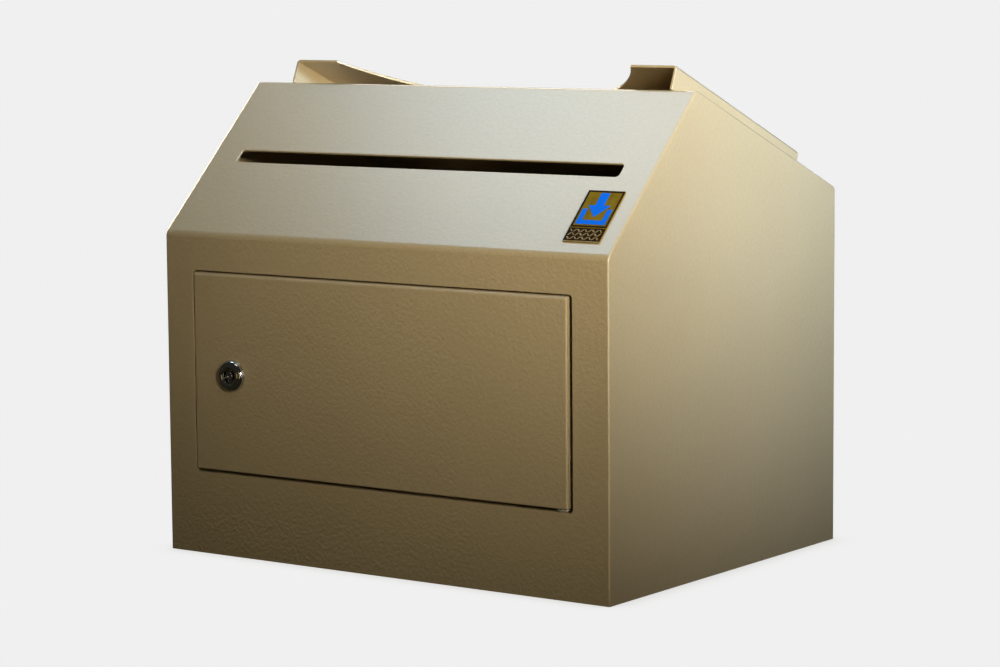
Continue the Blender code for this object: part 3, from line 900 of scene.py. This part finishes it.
@dataclass
class Casing:
    """The painted box: its welded skin, envelope pocket, and everything fixed inside it."""

    sheet: float = 2 * MM
    edge: float = 3 * MM
    seam: float = 1.3 * MM
    rim: float = 0.45 * MM
    corner: float = 3 * MM
    fold_height: float = 241.5 * MM
    ridge_setback: float = 112.5 * MM
    back_height: float = 270 * MM
    ridge_height: float = 351 * MM
    opening: Bounds = (-173.5 * MM, 169.6 * MM, 62.3 * MM, 214.3 * MM)
    slot: Bounds = (-174.8 * MM, 173.5 * MM, 72.9 * MM, 85.2 * MM)
    pocket: Bounds = (-167.5 * MM, 179 * MM, 0.5 * MM, 187 * MM)
    pocket_high: float = 18.3 * MM
    pocket_round: float = 2.6 * MM
    scoop_radius: float = 152 * MM
    scoop_centre: float = -71 * MM
    half_wide: float = field(init=False)
    front: float = field(init=False)
    back: float = field(init=False)

    def __post_init__(self) -> None:
        """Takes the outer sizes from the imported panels."""
        low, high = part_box("right_side_panel")
        self.half_wide = high.x
        self.front = low.y
        self.back = high.y

    @property
    def ridge(self) -> float:
        """Where the ridge is, front to back."""
        return self.front + self.ridge_setback

    @property
    def slope_frame(self) -> Matrix:
        """The front slope's frame: X right, Y up the slope, Z out of it.

        Returns:
            The frame.
        """
        angle = math.atan2(self.ridge_height - self.fold_height, self.ridge_setback)
        start = Matrix.Translation((0, self.front, self.fold_height))
        return start @ Matrix.Rotation(angle, 4, "X")

    @property
    def roof_frame(self) -> Matrix:
        """The roof's frame: X right, Y down the roof to the rear, Z out of it.

        Returns:
            The frame.
        """
        angle = math.atan2(self.ridge_height - self.back_height, self.back - self.ridge)
        start = Matrix.Translation((0, self.ridge, self.ridge_height))
        return start @ Matrix.Rotation(-angle, 4, "X")

    def build_skin(self) -> bpy.types.Object:
        """The outer skin as one welded, ground and painted sheet body.

        Returns:
            The piece.
        """
        outline = [
            (self.front, 0.0),
            (self.front, self.fold_height),
            (self.ridge, self.ridge_height),
            (self.back, self.back_height),
            (self.back, 0.0),
        ]
        bm = bmesh.new()
        side = [(-self.half_wide, y, z) for y, z in outline]
        pull(bm, side, (2 * self.half_wide, 0, 0))
        bmesh.ops.recalc_face_normals(bm, faces=bm.faces)
        drop_faces(bm, 2, -1)
        shared = set(inner_edges(bm))
        folds = [edge for edge in edges_along(bm, 0) if edge in shared]
        round_edges(bm, folds, self.edge, 6)
        skin = to_object("painted_casing", bm)
        add_wall(skin, self.sheet)
        settle(skin)
        outside = self.half_wide - TINY

        def on_seam(a: Vector, b: Vector) -> bool:
            """Whether an edge is on a side's outline, above the base."""
            return min(abs(a.x), abs(b.x)) > outside and max(a.z, b.z) > TINY

        round_corners(skin, self.seam, 4, on_seam)
        reach = 10 * MM
        left, right, low, high = self.opening
        doorway = block((left, self.front - reach, low), (right, self.front + reach, high))
        round_edges(doorway, edges_along(doorway, 1), self.corner)
        cut(skin, "doorway_cutter", doorway)
        left, right, low, high = self.slot
        slot = block((left, low, -reach), (right, high, reach))
        round_edges(slot, edges_along(slot, 2), self.corner)
        cut(skin, "slot_cutter", slot, self.slope_frame)
        soften(skin, self.rim, 3)
        return settle(skin)

    def build_pocket(self) -> bpy.types.Object:
        """The folded envelope pocket with its round scoop.

        Returns:
            The piece.
        """
        left, right, start, end = self.pocket
        bm = block((left, start, 0.1 * MM), (right, end, self.pocket_high))
        drop_faces(bm, 2, -1)
        drop_faces(bm, 1, -1)
        round_edges(bm, inner_edges(bm), self.pocket_round, 6)
        pocket = to_object("envelope_pocket_finished", bm, self.roof_frame)
        add_wall(pocket, self.sheet)
        rim = prism(
            arc(self.scoop_radius, 0, 360, 240)[:-1],
            self.pocket_high - 2 * self.sheet,
            self.pocket_high + self.sheet,
        )
        centre = Matrix.Translation(((left + right) / 2, self.scoop_centre, 0))
        cut(pocket, "scoop_cutter", rim, self.roof_frame @ centre)
        soften(pocket, self.rim, 3)
        return settle(pocket)

    def build_weld(self) -> bpy.types.Object:
        """The smooth fillet of weld and paint where the pocket meets the roof.

        Returns:
            The piece.
        """
        left, right, start, end = self.pocket
        turn = self.pocket_round
        corners = [(left, start + 2 * MM), (left, end - turn)]
        corners += [(x + left + turn, y + end - turn) for x, y in arc(turn, 180, 90, 6)[1:]]
        corners += [(x + right - turn, y + end - turn) for x, y in arc(turn, 90, 0, 6)]
        corners.append((right, start + 2 * MM))
        curve = bpy.data.curves.new("pocket_weld", "CURVE")
        curve.dimensions = "3D"
        curve.bevel_depth = 0.8 * MM
        curve.bevel_resolution = 3
        curve.use_fill_caps = True
        spline = curve.splines.new("POLY")
        spline.points.add(len(corners) - 1)
        for point, (x, y) in zip(spline.points, corners):
            point.co = (*(self.roof_frame @ Vector((x, y, 0.1 * MM))), 1.0)
        source = add_object("pocket_weld_path", curve)
        mesh = evaluated_mesh(source)
        mesh.shade_smooth()
        bpy.data.objects.remove(source)
        return add_object("pocket_weld", mesh)

    def dress(self, finishes: Finishes) -> None:
        """Builds every piece of the box and gives each its finish.

        Args:
            finishes: The object's finishes.
        """
        paint = finishes.box
        walls = ["front_shell", "rear_shell", "left_side_panel", "right_side_panel"]
        finish_piece(self.build_skin(), Body.BOX, paint, walls)
        finish_piece(self.build_pocket(), Body.BOX, paint, ["envelope_pocket"])
        finish_piece(self.build_weld(), Body.BOX, paint)
        inside = ["base_tray", "anti_fish_baffle", "upper_jamb", "lower_jamb", "strike_jamb"]
        softened_copies(inside, Body.BOX, paint, 0.35 * MM)
        softened_copies(["upper_door_stop", "lower_door_stop"], Body.BOX, paint, 0.3 * MM)
        bushes = ["upper_hinge_bush", "lower_hinge_bush"]
        softened_copies(bushes, Body.BOX, finishes.nylon, 0.1 * MM)


# ---------------------------------------------------------------- label


@dataclass
class Label:
    """The gold label: foil, a printed border and bars, and a deposit symbol."""

    casing: Casing
    lift: float = 0.12 * MM
    line: float = 1.5 * MM
    margin: float = 0.15 * MM
    strip: float = 1.2 * MM
    foot: float = 13.6 * MM
    left: float = 156.5 * MM
    right: float = 187 * MM
    low: float = 11.5 * MM
    high: float = 59 * MM
    face: float = 0.9 * MM

    def plates(
        self, name: str, outlines: Sequence[Sequence[Point]], lift: float | None = None
    ) -> bpy.types.Object:
        """Flat printed shapes on the label's face.

        Args:
            name: The piece's name.
            outlines: The shapes' corners, in the slope's frame.
            lift: How high they stand, if not the usual print.

        Returns:
            The piece.
        """
        joined = bmesh.new()
        for outline in outlines:
            part = prism(outline, self.face - 0.05 * MM, self.face + (lift or self.lift))
            mesh = bpy.data.meshes.new("print")
            part.to_mesh(mesh)
            part.free()
            joined.from_mesh(mesh)
            bpy.data.meshes.remove(mesh)
        return to_object(name, joined, self.casing.slope_frame)

    def build_border(self) -> bpy.types.Object:
        """The dark border, the divider and the bars under it.

        Returns:
            The piece.
        """
        x0, x1 = self.left + self.margin, self.right - self.margin
        y0, y1 = self.low + self.strip, self.high - self.margin
        middle = self.low + self.foot
        line = self.line
        rectangles = [
            (x0, middle, x0 + line, y1),
            (x1 - line, middle, x1, y1),
            (x0 + line, y1 - line, x1 - line, y1),
            (x0 + line, middle, x1 - line, middle + line),
            (x0, y0, x1, middle - 0.8 * MM),
        ]
        shapes = [[(a, b), (c, b), (c, d), (a, d)] for a, b, c, d in rectangles]
        return self.plates("label_print", shapes)

    def build_pattern(self) -> bpy.types.Object:
        """Rows of slanted gold strokes on the dark panel.

        Returns:
            The piece.
        """
        left, right = self.left + 0.2 * MM, self.right - 0.2 * MM
        foot, top = self.low + 0.2 * MM, self.low + self.strip - 0.2 * MM
        shapes = [[(left, foot), (right, foot), (right, top), (left, top)]]
        columns = 9
        step = (self.right - self.left - 3 * MM) / columns
        for row, low in enumerate((2.4 * MM, 5.9 * MM, 9.2 * MM)):
            for column in range(columns):
                lean = 1.0 if (row + column) % 2 else -1.0
                x = self.left + 1.5 * MM + (column + 0.5) * step
                y = self.low + low + 1.1 * MM
                wide = 0.55 * MM if (row * columns + column) % 4 else 0.8 * MM
                reach, rise = 0.95 * MM * lean, 1.15 * MM
                shapes.append(
                    [
                        (x - reach - wide, y - rise), (x - reach + wide, y - rise),
                        (x + reach + wide, y + rise), (x + reach - wide, y + rise),
                    ]
                )
        return self.plates("label_pattern", shapes, 2 * self.lift)

    def build_symbol(self) -> bpy.types.Object:
        """A plain arrow going down into a tray.

        Returns:
            The piece.
        """
        x = (self.left + self.right) / 2
        y = self.low + self.foot + 3.2 * MM
        arrow = [
            (-3.6, 28.5), (-3.6, 17), (-9.4, 17), (0, 6.2), (9.4, 17), (3.6, 17), (3.6, 28.5)
        ]
        tray = [
            (-12.2, 13.5), (-12.2, -0.5), (12.2, -0.5), (12.2, 13.5), (8.2, 13.5), (8.2, 3.4),
            (-8.2, 3.4), (-8.2, 13.5),
        ]
        shapes = [[(x + u * MM, y + v * MM) for u, v in shape] for shape in (arrow, tray)]
        return self.plates("label_symbol", shapes)

    def dress(self, finishes: Finishes) -> None:
        """Builds the label and gives it its finishes.

        Args:
            finishes: The object's finishes.
        """
        softened_copies(["label_plate"], Body.BOX, finishes.foil, 0.15 * MM)
        finish_piece(self.build_border(), Body.BOX, finishes.brown_ink)
        finish_piece(self.build_pattern(), Body.BOX, finishes.pale_ink)
        finish_piece(self.build_symbol(), Body.BOX, finishes.blue_ink)


# ---------------------------------------------------------------- door


@dataclass
class Door:
    """The pan-shaped door with its hinge pins."""

    sheet: float = 2 * MM
    top_edge: float = 3.2 * MM
    edge: float = 1.2 * MM
    rim: float = 0.4 * MM
    left_shift: float = -0.5 * MM
    right_shift: float = -1.0 * MM
    lift: float = 0.5 * MM
    pin_hole: float = 2.3 * MM
    barrel: float = 9.7 * MM
    barrel_flats: float = 16.6 * MM

    def build_pan(self) -> bpy.types.Object:
        """The folded door pan with its lock and pin holes.

        Returns:
            The piece.
        """
        low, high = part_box("door_pan")
        low = low + Vector((self.left_shift, 0, self.lift))
        high = high + Vector((self.right_shift, 0, self.lift))
        bm = block(low, high)
        drop_faces(bm, 1, 1)
        middle_front = [
            edge
            for edge in edges_along(bm, 0)
            if all(v.co.y < low.y + TINY and v.co.z > high.z - TINY for v in edge.verts)
        ]
        round_edges(bm, middle_front, self.top_edge, 6)
        pan = to_object("door_pan_finished", bm)
        add_wall(pan, self.sheet)
        settle(pan)

        def on_rim(a: Vector, b: Vector) -> bool:
            """Tests an edge for the outside of the face's rim.

            Args:
                a: Its first end.
                b: Its second end.

            Returns:
                Whether it is there.
            """
            if min(a.y, b.y) > high.y - TINY:
                return False
            beside = all(min(abs(v.x - low.x), abs(v.x - high.x)) < TINY for v in (a, b))
            below = all(v.z < low.z + TINY and v.y < low.y + TINY for v in (a, b))
            return beside or below

        round_corners(pan, self.edge, 4, on_rim)
        reach = 6 * MM
        turn = math.degrees(math.acos(self.barrel_flats / 2 / self.barrel))
        outline = arc(self.barrel, turn, 180 - turn, 30)
        outline += arc(self.barrel, 180 + turn, 360 - turn, 30)
        cut(pan, "lock_hole", prism(outline, -reach, reach), lock_frame())
        pin_low, pin_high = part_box("lower_hinge_pin")
        axis = Matrix.Translation(((pin_low.x + pin_high.x) / 2, (pin_low.y + pin_high.y) / 2, 0))
        cut(pan, "pin_holes", prism(arc(self.pin_hole, 0, 360, 32)[:-1], 0, 250 * MM), axis)
        soften(pan, self.rim, 3)
        return settle(pan)

    def dress(self, finishes: Finishes) -> None:
        """Builds the door and its hinge, and gives them their finishes.

        Args:
            finishes: The object's finishes.
        """
        finish_piece(self.build_pan(), Body.DOOR, finishes.door, ["door_pan"])
        pins = ["upper_hinge_pin", "lower_hinge_pin"]
        softened_copies(pins, Body.DOOR, finishes.zinc, 0.15 * MM)
        softened_copies(["hinge_thrust_washer"], Body.DOOR, finishes.nylon, 0.1 * MM)


# ---------------------------------------------------------------- lock


def lock_frame() -> Matrix:
    """The lock's frame: its Z runs to the rear from the back of its head, and -Y is up.

    Returns:
        The frame.
    """
    low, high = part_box("lock_housing")
    centre = ((low.x + high.x) / 2, (low.z + high.z) / 2)
    head = CamLock.head_high
    place = Matrix.Translation((centre[0], low.y + head, centre[1]))
    return place @ Matrix.Rotation(-math.pi / 2, 4, "X")


def threaded(
    radius: float, pitch: float, depth: float, flat: float, start: float, end: float
) -> Shaper:
    """A shape function that cuts a thread, and flats if it has them.

    Args:
        radius: The thread's outer radius, or for an inner thread its smallest.
        pitch: How far it moves in a turn.
        depth: How deep it is. Negative for an inner thread.
        flat: Half the distance across the flats, or 0.
        start: Where it starts.
        end: Where it ends.

    Returns:
        The shape function for lathe.
    """

    def place(angle: float, r: float, z: float) -> Place:
        """Moves one point of the turned shape.

        Args:
            angle: Its angle.
            r: Its radius.
            z: Its height.

        Returns:
            Its new place.
        """
        if abs(r - radius) < 0.01 * MM and start < z < end:
            phase = (z / pitch - angle / (2 * math.pi)) % 1.0
            r -= depth * abs(2 * phase - 1) ** 0.8
        x, y = r * math.cos(angle), r * math.sin(angle)
        if flat and r > flat and z > start - 0.3 * MM:
            x = max(-flat, min(flat, x))
        return (x, y, z)

    return place


def thread_stations(radius: float, start: float, end: float, pitch: float) -> list[Point]:
    """Closely spaced profile points for a thread, from its start to its end."""
    count = max(2, int(abs(end - start) / pitch * 6))
    return [(radius, start + (end - start) * i / count) for i in range(count + 1)]


@dataclass
class CamLock:
    """The tubular cam lock: housing, spindle, tumbler pins, washers, nuts and cam."""

    head_high: ClassVar[float] = 4.8 * MM
    head_radius: float = 12 * MM
    face_radius: float = 8 * MM
    keyway_radius: float = 5.3 * MM
    keyway_floor: float = 1.2 * MM
    bore: float = 6.7 * MM
    core: float = 6.4 * MM
    post: float = 3.4 * MM
    barrel: float = 9.4 * MM
    barrel_flat: float = 8 * MM
    collar_rear: float = 21.7 * MM
    drive: float = 4 * MM
    drive_flat: float = 3 * MM
    tumblers: int = 7
    pitch: float = 1.0 * MM
    drive_pitch: float = 0.8 * MM
    play: float = 0.3 * MM
    window_spare: float = 15.6  # degrees that the stop window leaves beside its quarter turn

    def dome(self) -> list[Point]:
        """The head's bulging side, from its face to its flange.

        Returns:
            The profile points.
        """
        inner, outer = self.face_radius + 0.5 * MM, self.head_radius - 0.35 * MM
        high, low = self.head_high - 0.5 * MM, 1.35 * MM
        points = []
        for step in range(9):
            turn = math.radians(90 * step / 8)
            radius = inner + (outer - inner) * math.sin(turn)
            points.append((radius, -low - (high - low) * math.cos(turn)))
        return points

    def build_housing(self) -> bpy.types.Object:
        """The head with its bulging side, the keyway and the threaded barrel.

        Returns:
            The piece.
        """
        top = -self.head_high
        lip = 0.35 * MM
        profile = [
            (self.keyway_radius, self.keyway_floor),
            (self.keyway_radius, top + 1.1 * MM),
            (self.keyway_radius + 0.15 * MM, top + 0.7 * MM),
            (self.keyway_radius + 0.5 * MM, top + 0.5 * MM),
            (self.face_radius - 1.5 * MM, top + 0.45 * MM),
            (self.face_radius - 1.1 * MM, top + 0.1 * MM),
            (self.face_radius - 0.8 * MM, top),
            (self.face_radius - 0.3 * MM, top),
            (self.face_radius, top + 0.15 * MM),
            (self.face_radius + 0.2 * MM, top + 0.4 * MM),
            *self.dome(),
            (self.head_radius - lip / 3, -1.0 * MM),
            (self.head_radius, -0.7 * MM),
            (self.head_radius, -0.25 * MM),
            (self.head_radius - lip / 2, 0),
            (self.barrel, 0),
        ]
        start, end = 1.0 * MM, self.collar_rear - 2.2 * MM
        profile += thread_stations(self.barrel, start, end, self.pitch)
        profile += [
            (self.barrel, self.collar_rear - 0.3 * MM),
            (self.barrel - 0.3 * MM, self.collar_rear),
            (self.bore, self.collar_rear),
            (self.bore, self.keyway_floor),
        ]
        shape = threaded(self.barrel, self.pitch, 0.5 * MM, self.barrel_flat, start, end)
        housing = to_object("lock_housing_finished", lathe(profile, 96, shape), lock_frame())
        half = 0.8 * MM
        reach = self.keyway_radius
        notch = block((-half, -reach - MM, top - MM), (half, -reach + MM, -MM))
        cut(housing, "key_notch", notch, lock_frame())
        spare = self.window_spare
        sector = [(0.0, 0.0), *arc(2 * self.barrel, -90 + spare, -180 - spare, 10)]
        window = prism(sector, self.collar_rear - 2 * MM, self.collar_rear + MM)
        cut(housing, "stop_window", window, lock_frame())
        return settle(housing)

    def build_spindle(self) -> bpy.types.Object:
        """The turning core with its centre post and threaded drive.

        Returns:
            The piece.
        """
        low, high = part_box("lock_spindle")
        length = high.y - low.y
        front = -self.head_high + 0.5 * MM
        rear = front + length
        floor = self.keyway_floor + 0.3 * MM
        shoulder = 19.4 * MM
        profile = [
            (0, front + 0.9 * MM),
            (1.0 * MM, front + 0.75 * MM),
            (1.5 * MM, front + 0.15 * MM),
            (1.9 * MM, front),
            (self.post - 0.6 * MM, front),
            (self.post - 0.15 * MM, front + 0.2 * MM),
            (self.post, front + 0.6 * MM),
            (self.post, floor),
            (self.core, floor),
            (self.core, shoulder),
            (self.drive, shoulder),
        ]
        start, end = 22 * MM, rear - 0.5 * MM
        profile += thread_stations(self.drive, start, end, self.drive_pitch)
        profile += [(self.drive - 0.5 * MM, rear), (0, rear)]
        shape = threaded(self.drive, self.drive_pitch, 0.35 * MM, 0, start, end)
        spindle = to_object("lock_spindle_finished", lathe(profile, 72, shape), lock_frame())
        wide = 3 * self.drive
        for sign in (-1, 1):
            near, far = sorted((sign * self.drive_flat, sign * wide))
            flat = block((near, -wide, shoulder), (far, wide, rear + MM))
            cut(spindle, "drive_flat", flat, lock_frame())
        soften(spindle, 0.08 * MM, 1, 55)
        return settle(spindle)

    def build_tumbler(self, index: int) -> bpy.types.Object:
        """One tumbler pin, with a domed tip.

        Args:
            index: Which pin, from 1.

        Returns:
            The piece.
        """
        low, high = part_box(f"tumbler_pin_{index}")
        radius = (high.x - low.x) / 2
        length = high.y - low.y
        turns = [math.radians(turn) for turn in (0, 20, 40, 60, 80, 90)]
        dome = [(radius * math.sin(a), radius * 0.6 * (1 - math.cos(a))) for a in turns]
        profile = [*dome, (radius, length - 0.1 * MM), (radius - 0.1 * MM, length), (0, length)]
        name = f"tumbler_pin_{index}_finished"
        return to_object(name, lathe(profile, 24), axle_frame(low, high))

    def build_nut(self, node: str, bore: float, pitch: float) -> bpy.types.Object:
        """A hexagon nut with chamfered corners and a threaded bore.

        Args:
            node: The CAD node it stands for.
            bore: Its thread's smallest radius.
            pitch: Its thread's pitch.

        Returns:
            The piece.
        """
        low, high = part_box(node)
        thick = high.y - low.y
        across = min(high.x - low.x, high.z - low.z) / 2
        lead = 0.35 * MM

        def hexed(angle: float, r: float, z: float) -> Place:
            """Turns the outer wall into a chamfered hexagon and threads the bore.

            Args:
                angle: Its angle.
                r: Its radius.
                z: Its height.

            Returns:
                Its new place.
            """
            if r > across:
                local = (math.degrees(angle) + 30) % 60 - 30
                flat = across / math.cos(math.radians(local))
                inset = min(z, thick - z)
                r = min(flat, across * 0.985 + inset * 1.8)
            elif r < bore + 0.01 * MM and lead < z < thick - lead:
                phase = (z / pitch - angle / (2 * math.pi)) % 1.0
                r -= 0.25 * MM * abs(2 * phase - 1)
            return (r * math.cos(angle), r * math.sin(angle), z)

        wall = across * 1.2
        heights = [thick * i / 12 for i in range(13)]
        profile = [(bore + lead, 0.0), (across * 0.98, 0.0)]
        profile += [(wall, z) for z in heights]
        profile += [(across * 0.98, thick), (bore + lead, thick)]
        profile += thread_stations(bore, thick - lead, lead, pitch)
        return to_object(f"{node}_finished", lathe(profile, 120, hexed), axle_frame(low, high))

    def build_star_washer(self) -> bpy.types.Object:
        """The lock washer, with small twisted teeth round its rim.

        Returns:
            The piece.
        """
        low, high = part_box("lock_washer")
        thick = high.y - low.y
        radius = (high.x - low.x) / 2
        bore = self.barrel + self.play
        teeth = 20

        def toothed(angle: float, r: float, z: float) -> Place:
            """Notches the rim.

            Args:
                angle: Its angle.
                r: Its radius.
                z: Its height.

            Returns:
                Its new place.
            """
            if r > radius - 0.2 * MM:
                wave = (angle * teeth / (2 * math.pi)) % 1.0
                if wave > 0.7:
                    r = radius - 1.5 * MM
            return (r * math.cos(angle), r * math.sin(angle), z)

        soft = 0.15 * MM
        mid = radius - 1.5 * MM
        profile = [
            (bore, thick - soft), (bore, soft), (bore + soft, 0), (mid, 0), (radius - soft, 0),
            (radius, soft), (radius, thick - soft), (radius - soft, thick), (mid, thick),
            (bore + soft, thick),
        ]
        turned = lathe(profile, 200, toothed)
        return to_object("lock_washer_finished", turned, axle_frame(low, high))

    def dress(self, finishes: Finishes) -> None:
        """Builds the lock and gives each piece its finish.

        Args:
            finishes: The object's finishes.
        """
        chrome, zinc = finishes.chrome, finishes.zinc
        finish_piece(self.build_housing(), Body.DOOR, chrome, ["lock_housing"])
        finish_piece(self.build_star_washer(), Body.DOOR, zinc, ["lock_washer"])
        nut = self.build_nut("lock_nut", self.barrel + self.play, self.pitch)
        finish_piece(nut, Body.DOOR, zinc, ["lock_nut"])
        finish_piece(self.build_spindle(), Body.LOCK_PLUG, chrome, ["lock_spindle"])
        for index in range(1, self.tumblers + 1):
            pin = self.build_tumbler(index)
            finish_piece(pin, Body.LOCK_PLUG, finishes.brass, [f"tumbler_pin_{index}"])
        for node, width in (("stop_washer", 0.2), ("lock_cam", 0.4), ("cam_washer", 0.15)):
            softened_copies([node], Body.LOCK_PLUG, zinc, width * MM)
        cam_nut = self.build_nut("cam_nut", self.drive + self.play, self.drive_pitch)
        finish_piece(cam_nut, Body.LOCK_PLUG, zinc, ["cam_nut"])


# ---------------------------------------------------------------- studio


BODY: Place = (0, 0, 0.2)
LOCK: Place = (-0.13, -0.15, 0.137)
WHITE: Colour = (1.0, 1.0, 1.0)


@dataclass(frozen=True)
class Lamp:
    """A light that looks at one point."""

    name: str
    place: Place
    aim: Place
    watts: float
    colour: Colour

    def hang(self, kind: str) -> bpy.types.Light:
        """Adds the light.

        Args:
            kind: The light's type.

        Returns:
            Its settings.
        """
        light = bpy.data.lights.new(self.name, kind)
        light.energy = self.watts
        light.color = self.colour
        obj = add_object(self.name, light)
        direction = Vector(self.aim) - Vector(self.place)
        obj.location = self.place
        obj.rotation_euler = direction.to_track_quat("-Z", "Y").to_euler()
        return light


@dataclass(frozen=True)
class Softbox(Lamp):
    """A soft rectangular light."""

    size: tuple[float, float] = (1.0, 1.0)

    def build(self) -> None:
        """Adds the light and gives it its shape."""
        light = self.hang("AREA")
        light.shape = "RECTANGLE"
        light.size, light.size_y = self.size


@dataclass(frozen=True)
class Spotlight(Lamp):
    """A spot whose beam, in degrees, fades from its middle to its edge."""

    beam: float = 22.0
    radius: float = 0.2

    def build(self) -> None:
        """Adds the light and gives it its beam."""
        light = self.hang("SPOT")
        light.spot_size = math.radians(self.beam)
        light.spot_blend = 1.0
        light.shadow_soft_size = self.radius


@dataclass
class Studio:
    """Camera, pale floor, soft lights and a dim room around them."""

    camera_place: Place = (1.378, -1.9225, 0.4408)
    yaw: float = 35.678
    pitch: float = 6.732
    roll: float = -0.442
    lens: float = 113.08
    exposure: float = 0.1
    gamma: float = 0.89
    room_up: Colour = (0.03, 0.03, 0.025)
    room_down: Colour = (0.022, 0.019, 0.011)
    sensor: float = 36.0
    nearest: float = 0.05
    floor_reach: float = 40.0
    floor_rear: float = 30.0
    floor_turn: float = 6.0
    lights: tuple[Softbox | Spotlight, ...] = (
        Spotlight("key_spot", (1.72, -1.26, 0.76), (0.15, -0.04, 0.38), 214, (1, 0.94, 0.79)),
        Spotlight(
            "side_spot", (2.12, 0.1, 0.77), (0.155, 0.13, 0.42), 246, (0.45, 0.65, 1), beam=23
        ),
        Softbox("slope_softbox", (-1.19, -0.13, 2.4), BODY, 10.8, (0.49, 0.74, 1), (0.8, 0.8)),
        Softbox("fill_softbox", (0.57, -2.12, 0.16), BODY, 1.3, (1, 0.81, 0.42)),
        Softbox("left_softbox", (-1.9, 0.55, 0.95), (0, 0, 0.3), 18, (1, 0.8, 0.5), (0.5, 0.5)),
        Softbox("top_strip", (0.1, -0.9, 2.2), LOCK, 2.4, WHITE, (0.8, 0.5)),
        Softbox("low_strip", (1.3, -0.9, 0.1), LOCK, 0.35, WHITE, (0.03, 0.5)),
        Softbox("middle_strip", (1.2, -0.75, 0.45), LOCK, 0.25, WHITE, (0.03, 0.5)),
        Softbox("rear_softbox", (-1.2, 1.6, 2.0), BODY, 16, (1, 0.96, 0.9), (1.2, 1.2)),
    )

    def build_camera(self) -> None:
        """Adds the camera and makes it the scene's."""
        camera = bpy.data.cameras.new("studio_camera")
        camera.lens = self.lens
        camera.sensor_width = self.sensor
        camera.clip_start = self.nearest
        obj = add_object("studio_camera", camera)
        turn = Matrix.Rotation(math.radians(self.yaw), 4, "Z")
        tilt = Matrix.Rotation(math.radians(90 - self.pitch), 4, "X")
        lean = Matrix.Rotation(math.radians(self.roll), 4, "Z")
        obj.matrix_world = Matrix.Translation(self.camera_place) @ turn @ tilt @ lean
        bpy.context.scene.camera = obj

    def build_floor(self) -> None:
        """Adds the floor, curving up into a backdrop, seen only by the camera."""
        bm = bmesh.new()
        half, rear, turn = self.floor_reach, self.floor_rear, self.floor_turn
        path = [(-half, 0.0), (rear, 0.0)]
        path += [(rear + x, turn + z) for x, z in arc(turn, -90, 0, 16)[1:]]
        path.append((rear + turn, half))
        start = [bm.verts.new((-half, y, z)) for y, z in path]
        end = [bm.verts.new((half, y, z)) for y, z in path]
        for index in range(len(path) - 1):
            bm.faces.new((start[index], end[index], end[index + 1], start[index + 1]))
        floor = to_object("studio_floor", bm)
        floor.data.materials.append(FloorPaper().material())
        floor.visible_diffuse = False
        floor.visible_glossy = False
        floor.visible_shadow = False

    def build_room(self) -> None:
        """Fills the world with dim light, warmer from below."""
        world = bpy.data.worlds.new("studio_room")
        bpy.context.scene.world = world
        graph = NodeGraph(world, "Background")
        way = graph.signal("ShaderNodeTexCoord", {}, {}, "Generated")
        upward = graph.signal("ShaderNodeSeparateXYZ", {}, {0: way}, "Z")
        level = graph.signal("ShaderNodeMapRange", {}, {"Value": upward, "From Min": -1.0})
        graph.feed(Color=graph.ramp(level, [(0.35, self.room_down), (0.7, self.room_up)]))

    def build(self) -> None:
        """Builds the whole studio."""
        self.build_camera()
        self.build_floor()
        self.build_room()
        for light in self.lights:
            light.build()
        view = bpy.context.scene.view_settings
        view.view_transform = "Standard"
        view.look = "None"
        view.exposure = self.exposure
        view.gamma = self.gamma


def main() -> None:
    """Builds every sub-assembly in order."""
    logging.basicConfig(level=logging.INFO, format="%(name)s: %(message)s")
    Studio().build()
    finishes = Finishes.make()
    casing = Casing()
    casing.dress(finishes)
    Label(casing).dress(finishes)
    Door().dress(finishes)
    CamLock().dress(finishes)


if __name__ == "__main__":
    main()
